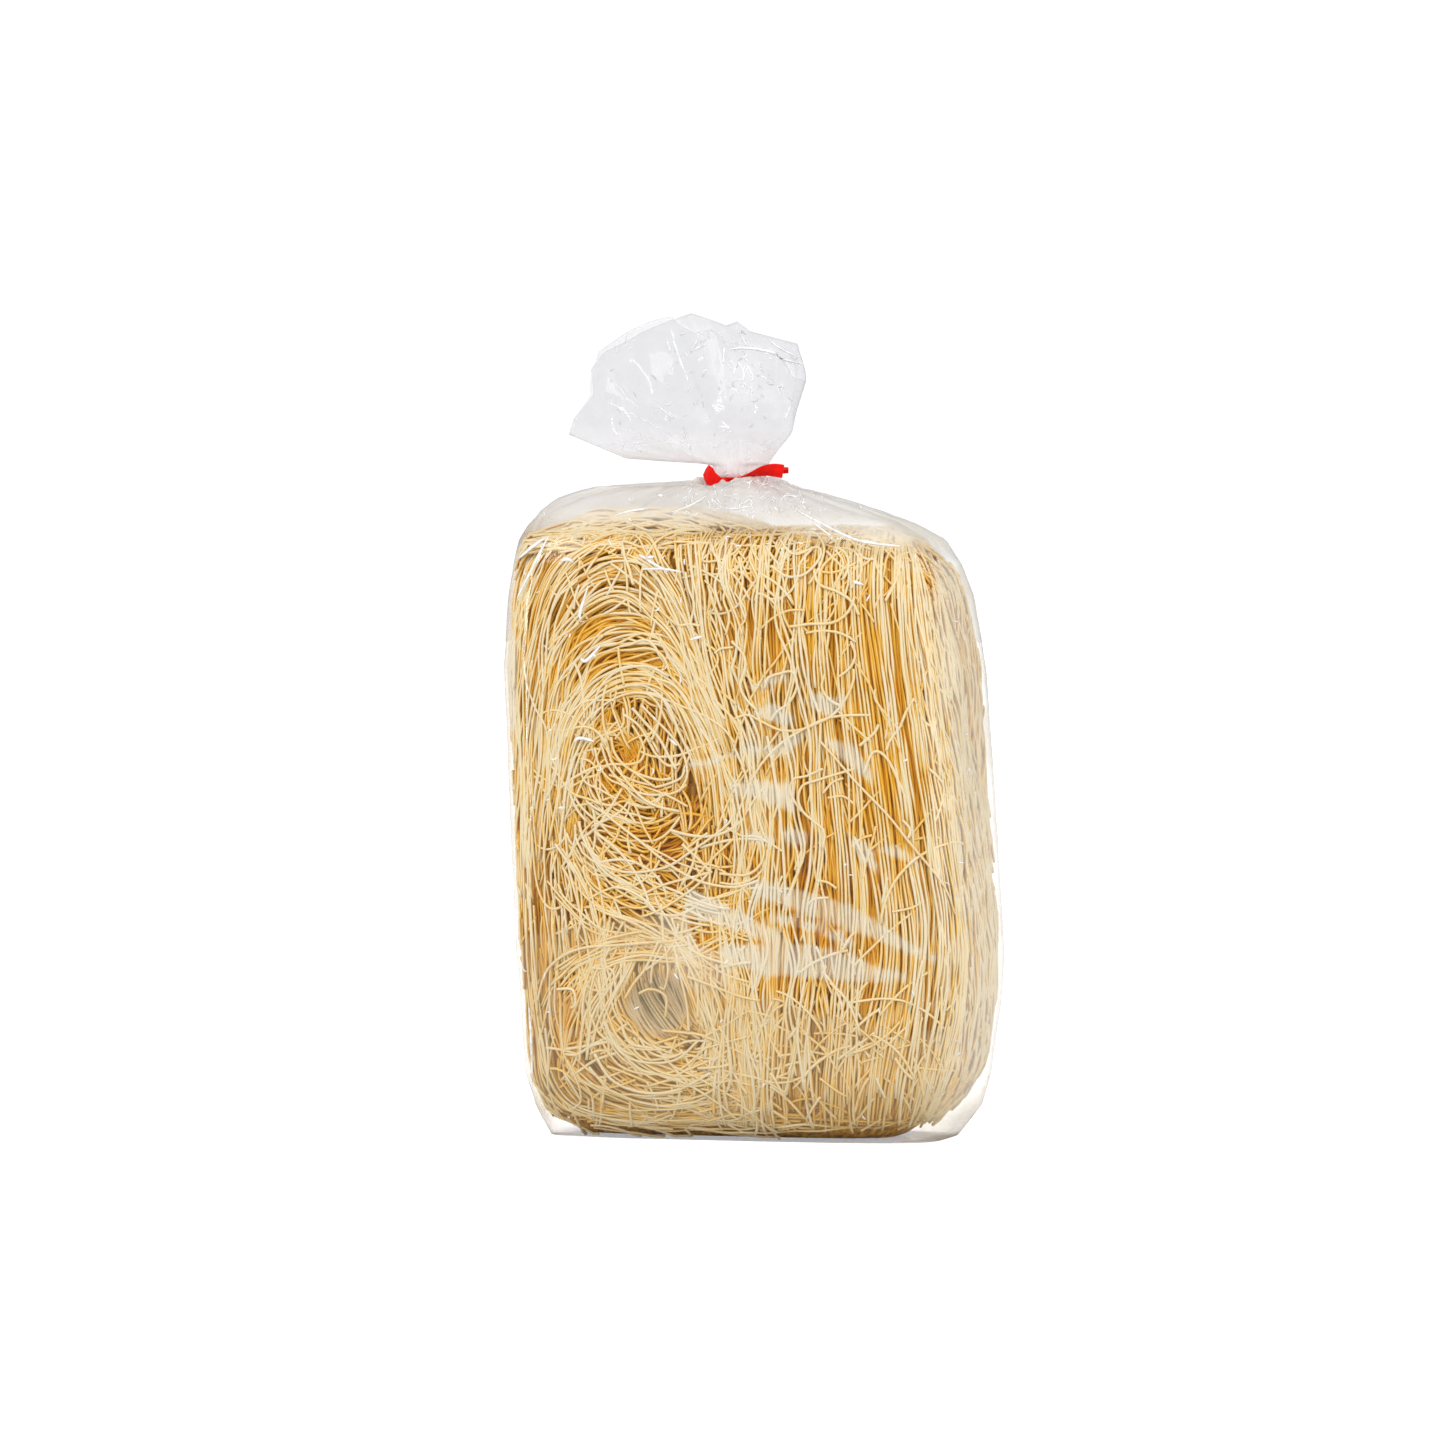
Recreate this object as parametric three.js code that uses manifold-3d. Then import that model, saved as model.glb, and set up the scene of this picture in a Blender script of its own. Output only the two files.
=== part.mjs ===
// A block of dried rice vermicelli in a clear bag that is gathered and closed with a red twist tie.
// Millimetres, +Z up. The origin is under the middle of the block, on the surface that it stands on,
// with the block's broad front face towards -Y.
import * as THREE from "three";
import { LoftGeometry } from "three/addons/geometries/LoftGeometry.js";
import { mergeVertices } from "three/addons/utils/BufferGeometryUtils.js";
import Module from "manifold-3d";

const wasm = await Module();
wasm.setup();

// ---- driving dimensions ----

const strandDiameter = 1.1;
const strandSides = 4;
const strandLift = 0.15; // the middle of a fused strand stands this far off the core
const filmStandoff = 1.6; // from the core out to the film
const pieceGap = 0.3; // between neighbouring pieces
const coreGrowth = strandDiameter / 2 + strandLift + pieceGap; // keeps the film clear of the strands

const neckX = -5.4;
const neckRadius = 7;
const neckBottom = 218.4;
const neckTop = 224.8;
const neckFlare = 3.6; // the fan starts this much wider than the neck, to the left and right
const shoulderBottom = 193; // the film stands clear of the block above this height
const cornerHeight = 24; // and below this one, at the two lower corners

// The bag's outline: height, left edge, right edge, half of the depth, squareness of the section.
const bagOutline = [
  [0, -65.3, 63.5, 33, 4],
  [10, -69.5, 71.8, 38, 4.5],
  [20, -72.9, 75.5, 40.5, 5],
  [45, -74.4, 80.4, 42.5, 5],
  [62, -75.8, 81.2, 43, 5],
  [93, -77.2, 79.2, 43, 5],
  [155, -80.2, 75, 42, 5],
  [179, -78.9, 70.9, 40.5, 5],
  [190, -77.3, 66.7, 39, 5],
  [198, -76, 62, 37, 4.6],
  [203, -73.5, 53.1, 34.5, 4],
  [208, -68.4, 38.8, 30, 3.4],
  [212, -62, 25.8, 24, 3],
  [215, -50, 14, 18, 2.6],
  [217.6, -30, 8.5, 12.5, 2.3],
  [neckBottom, neckX - neckRadius - 1, neckX + neckRadius + 1, neckRadius + 1, 2],
];

// How far the block's outline lies inside the bag's, where the two part: height, left, right, depth.
const blockInset = [
  [0, 9, 26, 6],
  [2, 7, 21, 4],
  [5, 5, 15.5, 2.2],
  [10, 2.6, 8.5, 0.8],
  [16, 0.8, 3, 0],
  [24, 0, 0, 0],
  [178, 0, 0, 0],
  [186, 0.4, 0.6, 0.6],
  [192, 1.5, 2.5, 1.8],
  [196, 3.5, 4, 4],
  [199, 7, 4.5, 8],
  [201, 13, 8, 14],
];
const blockTop = 202;

// The two bends of the folded skein that show on the front's left. Widths are half widths.
const folds = [
  {
    x: -31,
    height: 127,
    innerWidth: 18,
    outerWidth: 37,
    innerRise: 18,
    outerRise: 60,
    legStretch: 1.6,
    rightSlope: 0.22,
    count: 4,
    eye: { halfWidth: 15, halfHeight: 12, depth: 6 },
  },
  {
    x: -22,
    height: 42,
    innerWidth: 13,
    outerWidth: 30,
    innerRise: -14,
    outerRise: -27,
    legStretch: 1.8,
    rightSlope: 0,
    count: 3,
    eye: { halfWidth: 10, halfHeight: 10, depth: 8 },
  },
];

// The strands that run up each face, evenly spread from one of its sides to the other.
const strandRows = [
  { face: "front", from: 26, to: 65, count: 6, bottom: 26, top: 188 },
  { face: "front", from: -66, to: -59, count: 2, bottom: 26, top: 84 },
  { face: "back", from: -62, to: 66, count: 7, bottom: 22, top: 188 },
  { face: "right", from: -25, to: 25, count: 4, bottom: 30, top: 184 },
  { face: "left", from: -25, to: 25, count: 4, bottom: 24, top: 184 },
];
const looseCount = 6;
const uprightSteps = 13;
const foldSteps = 18;
const looseSteps = 5;

// The fan of film above the tie, as its left edge, rim and right edge: x and height.
const fanRim = [
  [-64.2, 233.7],
  [-62.4, 239],
  [-56.2, 247],
  [-56.2, 255.3],
  [-53, 261.3],
  [-39.2, 268],
  [-22.2, 274.3],
  [-12.8, 270.7],
  [-7.3, 271.3],
  [-3.1, 268.3],
  [13.5, 264.3],
  [16.3, 257.7],
  [18.7, 251.3],
];
const fanFrontDrop = 9; // the front ply's edge is this much lower on the fan's right lobe
const fanLeftBend = [-44.4, 226.2]; // where the left edge turns up
const fanRightBend = [10.5, 231]; // where the right edge turns up
const fanDepthLeft = 12; // half of the fan's depth at its left lobe
const fanDepthRight = 19; // and at its right lobe
const fanLobeSplit = 0.45; // the crease between the lobes, from the left edge 0 to the right edge 1
const fanPleats = 5;
const fanPleatDepth = 1.8;

const sectionPoints = 48;
const fanSteps = 8;

const tieWidth = 4.2;
const tieThickness = 0.7;
const tieHeight = 222.2; // the middle of the band round the neck
const tieTilt = THREE.MathUtils.degToRad(-3);
const tieSteps = 12; // along each strip of the tie

// ---- small helpers ----

const { clamp, lerp, smoothstep } = THREE.MathUtils;

// Reads a table whose rows start with a height or position, straight between its rows.
function readTable(table, at) {
  const last = table.length - 1;
  if (at <= table[0][0]) return table[0].slice(1);
  if (at >= table[last][0]) return table[last].slice(1);
  const i = table.findIndex((row) => row[0] > at);
  const [low, high] = [table[i - 1], table[i]];
  const share = (at - low[0]) / (high[0] - low[0]);
  return low.slice(1).map((value, k) => lerp(value, high[k + 1], share));
}

// The same numbers on every build, from 0 to 1.
function seededRandom(seed) {
  let state = seed;
  return () => {
    state = (state * 1664525 + 1013904223) % 4294967296;
    return state / 4294967296;
  };
}

// A closed ring round a rounded rectangle, evenly spaced, from its left side by way of its front.
function ring(left, right, halfDepth, squareness, height) {
  const centre = (left + right) / 2;
  const halfWidth = (right - left) / 2;
  const power = (value) => Math.sign(value) * Math.abs(value) ** (2 / squareness);
  const corners = [];
  const cornerCount = 160;
  for (let i = 0; i < cornerCount; i++) {
    const angle = Math.PI + (2 * Math.PI * i) / cornerCount;
    const x = centre + halfWidth * power(Math.cos(angle));
    corners.push(new THREE.Vector3(x, halfDepth * power(Math.sin(angle)), height));
  }
  return new THREE.CatmullRomCurve3(corners, true).getSpacedPoints(sectionPoints).slice(0, -1);
}

// A closed geometry as a solid for joining and cutting.
function toSolid(geometry) {
  const bare = new THREE.BufferGeometry();
  bare.setAttribute("position", geometry.getAttribute("position"));
  if (geometry.index) bare.setIndex(geometry.index);
  const merged = mergeVertices(bare, 1e-3);
  const index = merged.index.array;
  const triVerts = [];
  for (let i = 0; i < index.length; i += 3) {
    const [a, b, c] = [index[i], index[i + 1], index[i + 2]];
    if (a !== b && b !== c && a !== c) triVerts.push(a, b, c);
  }
  return new wasm.Manifold(
    new wasm.Mesh({
      numProp: 3,
      vertProperties: new Float32Array(merged.getAttribute("position").array),
      triVerts: new Uint32Array(triVerts),
    }),
  );
}

function toGeometry(solid) {
  const { numProp, vertProperties, triVerts } = solid.getMesh();
  const geometry = new THREE.BufferGeometry();
  const buffer = new THREE.InterleavedBuffer(vertProperties, numProp);
  geometry.setAttribute("position", new THREE.InterleavedBufferAttribute(buffer, 3, 0));
  geometry.setIndex(new THREE.BufferAttribute(triVerts, 1));
  const plain = geometry.toNonIndexed();
  plain.computeVertexNormals();
  return plain;
}

// The largest of a solid's separate bodies.
function largestBody(solid) {
  return solid.decompose().reduce((best, body) => (body.volume() > best.volume() ? body : best));
}

function box(low, high) {
  const size = new THREE.Vector3().subVectors(high, low);
  const geometry = new THREE.BoxGeometry(size.x, size.y, size.z);
  geometry.translate(...new THREE.Vector3().addVectors(low, high).multiplyScalar(0.5).toArray());
  return toSolid(geometry);
}

function meshOf(name, solid, material) {
  const mesh = new THREE.Mesh(toGeometry(solid), material);
  mesh.name = name;
  return mesh;
}

// ---- the block of vermicelli ----

// The block's edges at a height: left, right, half depth, squareness.
function blockEdges(height, growth = 0) {
  const [left, right, depth, squareness] = readTable(bagOutline, height);
  const [insetLeft, insetRight, insetDepth] = readTable(blockInset, height);
  const inside = filmStandoff - growth;
  return {
    left: left + insetLeft + inside,
    right: right - insetRight - inside,
    halfDepth: depth - insetDepth - inside,
    squareness,
  };
}

function blockCore(growth = 0) {
  const heights = [0, 2, 5, 10, 16, 24, 45, 62, 93, 155, 179, 186, 192, 196, 199, 201];
  const sections = heights.map((height) => {
    const edges = blockEdges(height, growth);
    const lift = height > 24 ? growth * smoothstep(height, 170, 196) : 0;
    return ring(edges.left, edges.right, edges.halfDepth, edges.squareness, height + lift);
  });
  // The top closes over a low dome.
  const rim = sections.at(-1);
  const middle = new THREE.Vector3();
  rim.forEach((point) => middle.addScaledVector(point, 1 / rim.length));
  for (const [share, height] of [[0.55, blockTop - 0.4], [0, blockTop]]) {
    sections.push(
      rim.map((point) => {
        const inner = new THREE.Vector3().lerpVectors(middle, point, share);
        inner.z = height + growth;
        return inner;
      }),
    );
  }
  return toSolid(new LoftGeometry(sections, { capStart: true }));
}

const faces = {
  front: { endwise: false, side: -1 },
  back: { endwise: false, side: 1 },
  right: { endwise: true, side: 1 },
  left: { endwise: true, side: -1 },
};

// A point on a face of the block: across runs left to right as that face is looked at.
function onFace({ endwise, side }, across, height, lift) {
  const { left, right, halfDepth, squareness } = blockEdges(height, lift);
  const middle = (left + right) / 2;
  const halfWidth = (right - left) / 2;
  const bulge = (share) => (1 - Math.min(Math.abs(share), 1) ** squareness) ** (1 / squareness);
  if (endwise) {
    const y = side * across;
    return new THREE.Vector3(middle + side * halfWidth * bulge(y / halfDepth), y, height);
  }
  const x = -side * across;
  return new THREE.Vector3(x, side * halfDepth * bulge((x - middle) / halfWidth), height);
}

// One strand as a tube that follows points on the core.
function strand(points, steps) {
  const sides = new THREE.Shape();
  for (let i = 0; i < strandSides; i++) {
    const angle = (2 * Math.PI * (i + 0.5)) / strandSides;
    const [x, y] = [Math.cos(angle), Math.sin(angle)].map((value) => (value * strandDiameter) / 2);
    if (i === 0) sides.moveTo(x, y);
    else sides.lineTo(x, y);
  }
  sides.closePath();
  const extrudePath = new THREE.CatmullRomCurve3(points);
  return toSolid(new THREE.ExtrudeGeometry(sides, { steps, extrudePath, bevelEnabled: false }));
}

// A strand that runs up a face, with a slow wave.
function uprightStrand(face, across, bottom, top, random) {
  const knots = 9;
  const wave = 0.8 + 1.6 * random();
  const phase = 2 * Math.PI * random();
  const lean = (random() - 0.5) * 5;
  const points = [];
  for (let i = 0; i <= knots; i++) {
    const share = i / knots;
    const shift = wave * Math.sin(phase + share * 8) + lean * (share - 0.5);
    points.push(onFace(face, across + shift, lerp(bottom, top, share), strandLift));
  }
  return strand(points, uprightSteps);
}

// A strand of a fold: along one leg, round the bend and along the other leg. A fold whose bend hangs
// down has a negative rise.
function foldStrand(fold, share) {
  const points = [];
  const knots = 14;
  const halfWidth = lerp(fold.innerWidth, fold.outerWidth, share);
  const rise = lerp(fold.innerRise, fold.outerRise, share);
  for (let i = 0; i <= knots; i++) {
    const turn = Math.PI * (1.16 - (1.32 * i) / knots);
    const stretch = Math.sin(turn) < 0 ? fold.legStretch : 1;
    const height = fold.height + rise * Math.sin(turn) * stretch;
    const slope = Math.cos(turn) > 0 ? fold.rightSlope * Math.abs(fold.height + rise - height) : 0;
    const across = fold.x + halfWidth * Math.cos(turn) + slope;
    points.push(onFace(faces.front, across, height, strandLift));
  }
  return strand(points, foldSteps);
}

// A short strand that lies loose across the others.
function looseStrand(face, across, height, turn, length, bend) {
  const points = [];
  const knots = 4;
  const lift = strandLift + strandDiameter * 0.45;
  for (let i = 0; i <= knots; i++) {
    const share = i / knots - 0.5;
    const heading = turn + bend * share;
    const x = across + length * share * Math.cos(heading);
    points.push(onFace(face, x, height + length * share * Math.sin(heading), lift));
  }
  return strand(points, looseSteps);
}

// The hollow in the middle of a fold.
function foldEye({ x, height, eye }) {
  const geometry = new THREE.SphereGeometry(1, 16, 10);
  geometry.scale(eye.halfWidth, eye.depth, eye.halfHeight);
  const wall = onFace(faces.front, x, height, 0);
  geometry.translate(wall.x, wall.y, wall.z);
  return toSolid(geometry);
}

function vermicelliBlock() {
  const random = seededRandom(11);
  const strands = [];
  for (const fold of folds) {
    for (let i = 0; i < fold.count; i++) strands.push(foldStrand(fold, i / (fold.count - 1)));
  }
  for (const { face, from, to, count, bottom, top } of strandRows) {
    for (let i = 0; i < count; i++) {
      const across = lerp(from, to, i / (count - 1)) + (random() - 0.5) * 4;
      const low = bottom + 10 * random();
      strands.push(uprightStrand(faces[face], across, low, top - 10 * random(), random));
    }
  }
  for (let i = 0; i < looseCount; i++) {
    const across = lerp(0, 56, i / (looseCount - 1));
    const height = lerp(30, 110, random());
    const turn = Math.PI * random();
    strands.push(looseStrand(faces.front, across, height, turn, 16 + 10 * random(), 1.2 * random()));
  }
  const core = folds.reduce((block, fold) => block.subtract(foldEye(fold)), blockCore());
  return largestBody(strands.reduce((block, piece) => block.add(piece), core));
}

// ---- the bag ----

function bagSection(height) {
  const [left, right, halfDepth, squareness] = readTable(bagOutline, height);
  return ring(left, right, halfDepth, squareness, height);
}

const fanBase = neckRadius + neckFlare;

// A point of the fan's rim, from the left edge 0 to the right edge 1.
function rimAt(share) {
  const at = clamp(share, 0, 1) * (fanRim.length - 1);
  const i = Math.min(Math.floor(at), fanRim.length - 2);
  const [a, b] = [fanRim[i], fanRim[i + 1]];
  return new THREE.Vector2(lerp(a[0], b[0], at - i), lerp(a[1], b[1], at - i));
}

// The fan's middle surface: share runs across it and rise from the neck to the rim.
function fanPoint(share, rise, front) {
  const base = new THREE.Vector2(neckX - fanBase * Math.cos(Math.PI * share), neckTop + 0.5);
  const rim = rimAt(share);
  if (front) rim.y -= fanFrontDrop * smoothstep(share, fanLobeSplit, fanLobeSplit + 0.1)
    * (1 - smoothstep(share, 0.93, 1));
  const straight = new THREE.Vector2().lerpVectors(base, rim, 0.5);
  const left = new THREE.Vector2(...fanLeftBend);
  const right = new THREE.Vector2(...fanRightBend);
  const pull = share < 0.5 ? left : right;
  const edge = Math.abs(2 * share - 1) ** 3;
  const bend = straight.lerp(pull, edge);
  return new THREE.QuadraticBezierCurve(base, bend, rim).getPoint(rise);
}

function fanSection(rise) {
  const half = sectionPoints / 2;
  const points = [];
  for (let i = 0; i < sectionPoints; i++) {
    const front = i < half;
    const share = front ? i / half : 2 - i / half;
    const flat = fanPoint(share, rise, front);
    const lobe = smoothstep(share, fanLobeSplit - 0.12, fanLobeSplit + 0.12);
    const crease = 1 - 0.35 * rise * Math.exp(-(((share - fanLobeSplit) / 0.05) ** 2));
    const swell = lerp(fanDepthLeft, fanDepthRight, lobe) * Math.sin(Math.PI * Math.min(rise, 0.75) * 0.67);
    const depth = Math.max(neckRadius * (1 - 0.6 * rise), swell) * crease;
    const pleat = fanPleatDepth * rise * Math.cos(2 * Math.PI * fanPleats * share + (front ? 0 : 1.3));
    const outward = (depth + pleat) * Math.sin(Math.PI * share) ** 0.7;
    points.push(new THREE.Vector3(flat.x, front ? -outward : outward, flat.y));
  }
  return points;
}

// The fan's open edge, drawn together along its middle so that the solid closes.
function fanMouth() {
  const rim = fanSection(1);
  const half = sectionPoints / 2;
  return rim.map((point, i) => {
    const other = rim[(sectionPoints - i) % sectionPoints];
    const middle = new THREE.Vector3().addVectors(point, other).multiplyScalar(0.5);
    middle.z -= i === 0 || i === half ? 0 : 2.5;
    return middle;
  });
}

// The film above the block: shoulders, gathered neck and fan.
function bagTop() {
  const heights = [shoulderBottom, 198, 203, 208, 212, 215, 217.6, neckBottom];
  const sections = heights.map(bagSection);
  const neck = [neckX - neckRadius, neckX + neckRadius, neckRadius, 2];
  sections.push(ring(...neck, neckBottom + 0.8), ring(...neck, neckTop));
  sections.push(ring(neckX - fanBase, neckX + fanBase, neckRadius, 2, neckTop + 0.5));
  for (let i = 1; i <= fanSteps; i++) sections.push(fanSection(i / fanSteps));
  sections.push(fanMouth());
  const outer = toSolid(new LoftGeometry(sections, { capStart: true }));
  return largestBody(outer.subtract(blockCore(coreGrowth)));
}

// The empty film at one of the bag's lower corners.
function bagCorner(side) {
  const heights = [0, 5, 10, 16, cornerHeight];
  const outer = toSolid(new LoftGeometry(heights.map(bagSection), { capStart: true, capEnd: true }));
  const [near, far] = side > 0 ? [34, 90] : [-90, -52];
  const halfDepth = 31;
  const reach = box(
    new THREE.Vector3(near, -halfDepth, 0),
    new THREE.Vector3(far, halfDepth, cornerHeight),
  );
  return largestBody(outer.intersect(reach).subtract(blockCore(coreGrowth)));
}

// ---- the twist tie ----

// The band round the neck.
function tieBand() {
  const inner = neckRadius + 0.9;
  const outer = inner + tieThickness;
  const [low, high] = [-tieWidth / 2, tieWidth / 2];
  const profile = [[inner, low], [outer, low], [outer, high], [inner, high], [inner, low]];
  const band = new THREE.LatheGeometry(profile.map(([x, y]) => new THREE.Vector2(x, y)), 32);
  band.rotateX(Math.PI / 2);
  band.rotateY(tieTilt);
  band.translate(neckX, 0, tieHeight);
  return toSolid(band);
}

// A strip along a curve: each knot gives a place, the strip's width and its turn from upright.
function tieStrip(knots) {
  const path = new THREE.CatmullRomCurve3(knots.map((knot) => new THREE.Vector3(...knot.at)));
  const sections = [];
  for (let i = 0; i <= tieSteps; i++) {
    const share = i / tieSteps;
    const along = share * (knots.length - 1);
    const k = Math.min(Math.floor(along), knots.length - 2);
    const turn = lerp(knots[k].turn, knots[k + 1].turn, along - k);
    const width = lerp(knots[k].width, knots[k + 1].width, along - k);
    const heading = path.getTangent(share);
    const outward = new THREE.Vector3().crossVectors(heading, new THREE.Vector3(0, 0, 1)).normalize();
    const up = new THREE.Vector3().crossVectors(outward, heading).normalize();
    up.applyAxisAngle(heading, turn).multiplyScalar(width / 2);
    outward.applyAxisAngle(heading, turn).multiplyScalar(tieThickness / 2);
    const corner = (a, b) => path.getPoint(share).addScaledVector(up, a).addScaledVector(outward, b);
    sections.push([corner(1, -1), corner(1, 1), corner(-1, 1), corner(-1, -1)]);
  }
  return toSolid(new LoftGeometry(sections, { capStart: true, capEnd: true }));
}

function twistTie() {
  const x = neckX;
  const z = tieHeight;
  const front = -(neckRadius + 1.3);
  // Folds back on itself at the left, turns edge-on across the front, and ends in a flat tail.
  const tail = tieStrip([
    { at: [x - 6.5, -5.2, z - 0.9], width: tieWidth * 0.8, turn: 0 },
    { at: [x - 10.2, -7.2, z - 1.2], width: tieWidth * 1.2, turn: -0.2 },
    { at: [x - 6, front - 1.6, z - 1.6], width: tieWidth, turn: -0.7 },
    { at: [x - 0.5, front - 1.8, z - 1.7], width: tieWidth * 0.9, turn: -1.45 },
    { at: [x + 5, front - 1.9, z - 0.2], width: tieWidth, turn: -0.5 },
    { at: [x + 10, front - 1.4, z + 0.7], width: tieWidth, turn: 0 },
    { at: [x + 15.6, front - 0.6, z + 0.6], width: tieWidth, turn: 0 },
  ]);
  const stub = tieStrip([
    { at: [x - 8, -6.2, z - 1.5], width: tieWidth * 0.9, turn: 0 },
    { at: [x - 9.2, -7.2, z + 0.6], width: tieWidth * 0.7, turn: 0.5 },
    { at: [x - 9.8, -7.6, z + 3.2], width: tieWidth * 0.4, turn: 0.9 },
  ]);
  const secondTail = tieStrip([
    { at: [x + 6.8, -4.4, z + 0.2], width: tieWidth * 0.9, turn: 0 },
    { at: [x + 12, -5.6, z + 0.9], width: tieWidth * 0.9, turn: 0 },
    { at: [x + 18, -6.2, z + 1.1], width: tieWidth * 0.8, turn: 0 },
  ]);
  return largestBody(tieBand().add(tail).add(stub).add(secondTail));
}

// ---- the whole ----

const driedNoodle = new THREE.MeshStandardMaterial({ color: 0xe9d29c, roughness: 0.6, metalness: 0 });
const clearFilm = new THREE.MeshStandardMaterial({
  color: 0xf3f4f6,
  roughness: 0.12,
  metalness: 0,
  transparent: true,
  opacity: 0.35,
});
const redPlastic = new THREE.MeshStandardMaterial({ color: 0xe8150b, roughness: 0.35, metalness: 0 });

const pack = new THREE.Group();
pack.add(
  meshOf("vermicelli_block", vermicelliBlock(), driedNoodle),
  meshOf("bag_top", bagTop(), clearFilm),
  meshOf("bag_corner_left", bagCorner(-1), clearFilm),
  meshOf("bag_corner_right", bagCorner(1), clearFilm),
  meshOf("twist_tie", twistTie(), redPlastic),
);

export default pack;
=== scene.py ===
"""A folded block of dried rice vermicelli in a clear film bag that a flat red twist tie closes.

Sizes and places are in millimetres and become metres where a mesh is made. +Z is up, -Y is the block's
broad front face, and +X is to its right.
"""

import math

import bmesh
import bpy
import numpy as np
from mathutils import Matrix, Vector
from mathutils.bvhtree import BVHTree


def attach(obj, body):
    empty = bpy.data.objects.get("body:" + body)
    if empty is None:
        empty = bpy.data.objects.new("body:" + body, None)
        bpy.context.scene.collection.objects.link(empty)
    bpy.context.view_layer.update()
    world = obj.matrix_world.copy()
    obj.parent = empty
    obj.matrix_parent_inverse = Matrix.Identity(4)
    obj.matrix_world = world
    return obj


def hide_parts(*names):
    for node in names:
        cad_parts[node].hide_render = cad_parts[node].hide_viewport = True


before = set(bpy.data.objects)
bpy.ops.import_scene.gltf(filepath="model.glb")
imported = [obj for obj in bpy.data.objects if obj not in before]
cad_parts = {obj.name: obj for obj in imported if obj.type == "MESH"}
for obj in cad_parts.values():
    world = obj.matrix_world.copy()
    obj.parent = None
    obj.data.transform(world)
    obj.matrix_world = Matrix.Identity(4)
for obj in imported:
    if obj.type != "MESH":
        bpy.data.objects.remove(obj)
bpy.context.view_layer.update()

MM = 0.001
SAME_PLACE = 0.002 * MM  # points that are closer than this become one

# ---- driving dimensions ----

STRAND = 1.1  # diameter
STRAND_SIDES = 4
# Painted shade: a strand's underside is painted more golden than its top.
UNDERSIDE_PAINTED_SHADE = 1.0  # how much more golden a strand's underside is than its top
FILM_STANDOFF = 1.6  # from the block's surface out to the film
FILM_THICKNESS = 0.08

VIEW_TURN = math.radians(16)  # how far the view stands round to the right of the front
VIEW_RIGHT = np.array((math.cos(VIEW_TURN), math.sin(VIEW_TURN), 0))
TOWARDS_VIEW = np.array((math.sin(VIEW_TURN), -math.cos(VIEW_TURN), 0))

NECK_X = -5.4
NECK_RADIUS = 8.3
NECK_BOTTOM = 216
NECK_TOP = 222.8
NECK_FLARE = 2
FAN_BASE = NECK_RADIUS + NECK_FLARE

# The bag's outline: height, left edge, right edge, half of the depth, squareness of the section.
BAG_OUTLINE = np.array(
    [
        [0, -66.5, 67.5, 33, 4],
        [10, -70.5, 74.5, 38, 4.5],
        [20, -72.9, 76.8, 40.5, 5],
        [45, -74.4, 80.4, 42.5, 5],
        [62, -75.8, 81.2, 43, 5],
        [93, -77.2, 79.2, 43, 5],
        [155, -80.2, 75, 42, 5],
        [179, -78.9, 70.9, 40.5, 5],
        [190, -77.3, 66.7, 39, 5],
        [198, -76, 62, 37, 4.6],
        [203, -74.4, 53.1, 34.5, 4],
        [208, -71, 38.8, 30, 3.4],
        [212, -65.5, 25.8, 24, 3],
        [215, -54, 14, 18, 2.6],
    ]
)

# How far the block's outline lies inside the bag's, where the two part: height, left, right, depth.
BLOCK_INSET = np.array(
    [
        [0, 4, 12, 6],
        [2, 2.8, 9.5, 4],
        [5, 2, 8.5, 2.2],
        [10, 1.4, 6.5, 0.8],
        [16, 0.8, 3.2, 0],
        [24, 0, 0.6, 0],
        [178, 0, 0, 0],
        [186, 0.4, 0.6, 0.6],
        [192, 1.5, 2.5, 1.8],
        [196, 3.5, 4, 4],
        [199, 7, 4.5, 8],
        [201, 13, 8, 14],
    ]
)
BLOCK_EDGE = 201  # the height at which the block's top face starts
BLOCK_TOP = 202

# The fan of film above the tie, as its left edge, rim and right edge: x and height.
FAN_RIM = np.array(
    [
        [-64.2, 233.7],
        [-62.4, 239],
        [-56.2, 247],
        [-56.2, 255.3],
        [-53, 261.3],
        [-40.5, 268],
        [-25, 274.3],
        [-14.5, 270.4],
        [-10, 271.6],
        [-5.5, 268.3],
        [11.5, 263.8],
        [14, 258],
        [17.5, 250.5],
    ]
)
FAN_FRONT_DROP = 4  # the front ply's edge is this much lower on the right lobe
FAN_LEFT_BEND = (-44.4, 225.4)
FAN_RIGHT_BEND = (12.5, 233)
FAN_BEND = 0.6  # where on the way from the neck to the rim its edges bend
FAN_DEPTH_LEFT = 12
FAN_DEPTH_RIGHT = 19
FAN_LOBE_SPLIT = 0.45

# The hollows in the middle of the skein's two folds: x, height, half width, half height, depth.
EYES = np.array([[-33, 122, 15, 13, 1.3], [-21.5, 44.5, 12, 11, 3.8]])
LOWER_EYE = EYES[1, :4]  # without its depth


# ---- numbers ----


def smoothstep(value, low, high):
    share = np.clip((value - low) / (high - low), 0, 1)
    return share * share * (3 - 2 * share)


def lerp(a, b, share):
    return a + (b - a) * share


def read(table, at):
    """The columns of a table after its first, read straight between its rows."""
    return [np.interp(at, table[:, 0], column) for column in table[:, 1:].T]


def follow(controls, share):
    """Points at a share from 0 to 1 along smooth curves; controls are (curves, points, axes)."""
    count = controls.shape[1]
    at = np.clip(share, 0, 1) * (count - 1)
    first = np.minimum(at.astype(int), count - 2)
    f = (at - first)[..., None]

    def pick(step):
        return np.take_along_axis(controls, np.clip(first + step, 0, count - 1)[..., None], axis=1)

    a, b, c, d = pick(-1), pick(0), pick(1), pick(2)
    return 0.5 * (2 * b + (c - a) * f + (2 * a - 5 * b + 4 * c - d) * f**2 + (3 * b - 3 * c + d - a) * f**3)


def curve(knots, count):
    """Points along one smooth curve through its knots."""
    return follow(np.array(knots, float)[None], np.linspace(0, 1, count)[None])[0]


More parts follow.
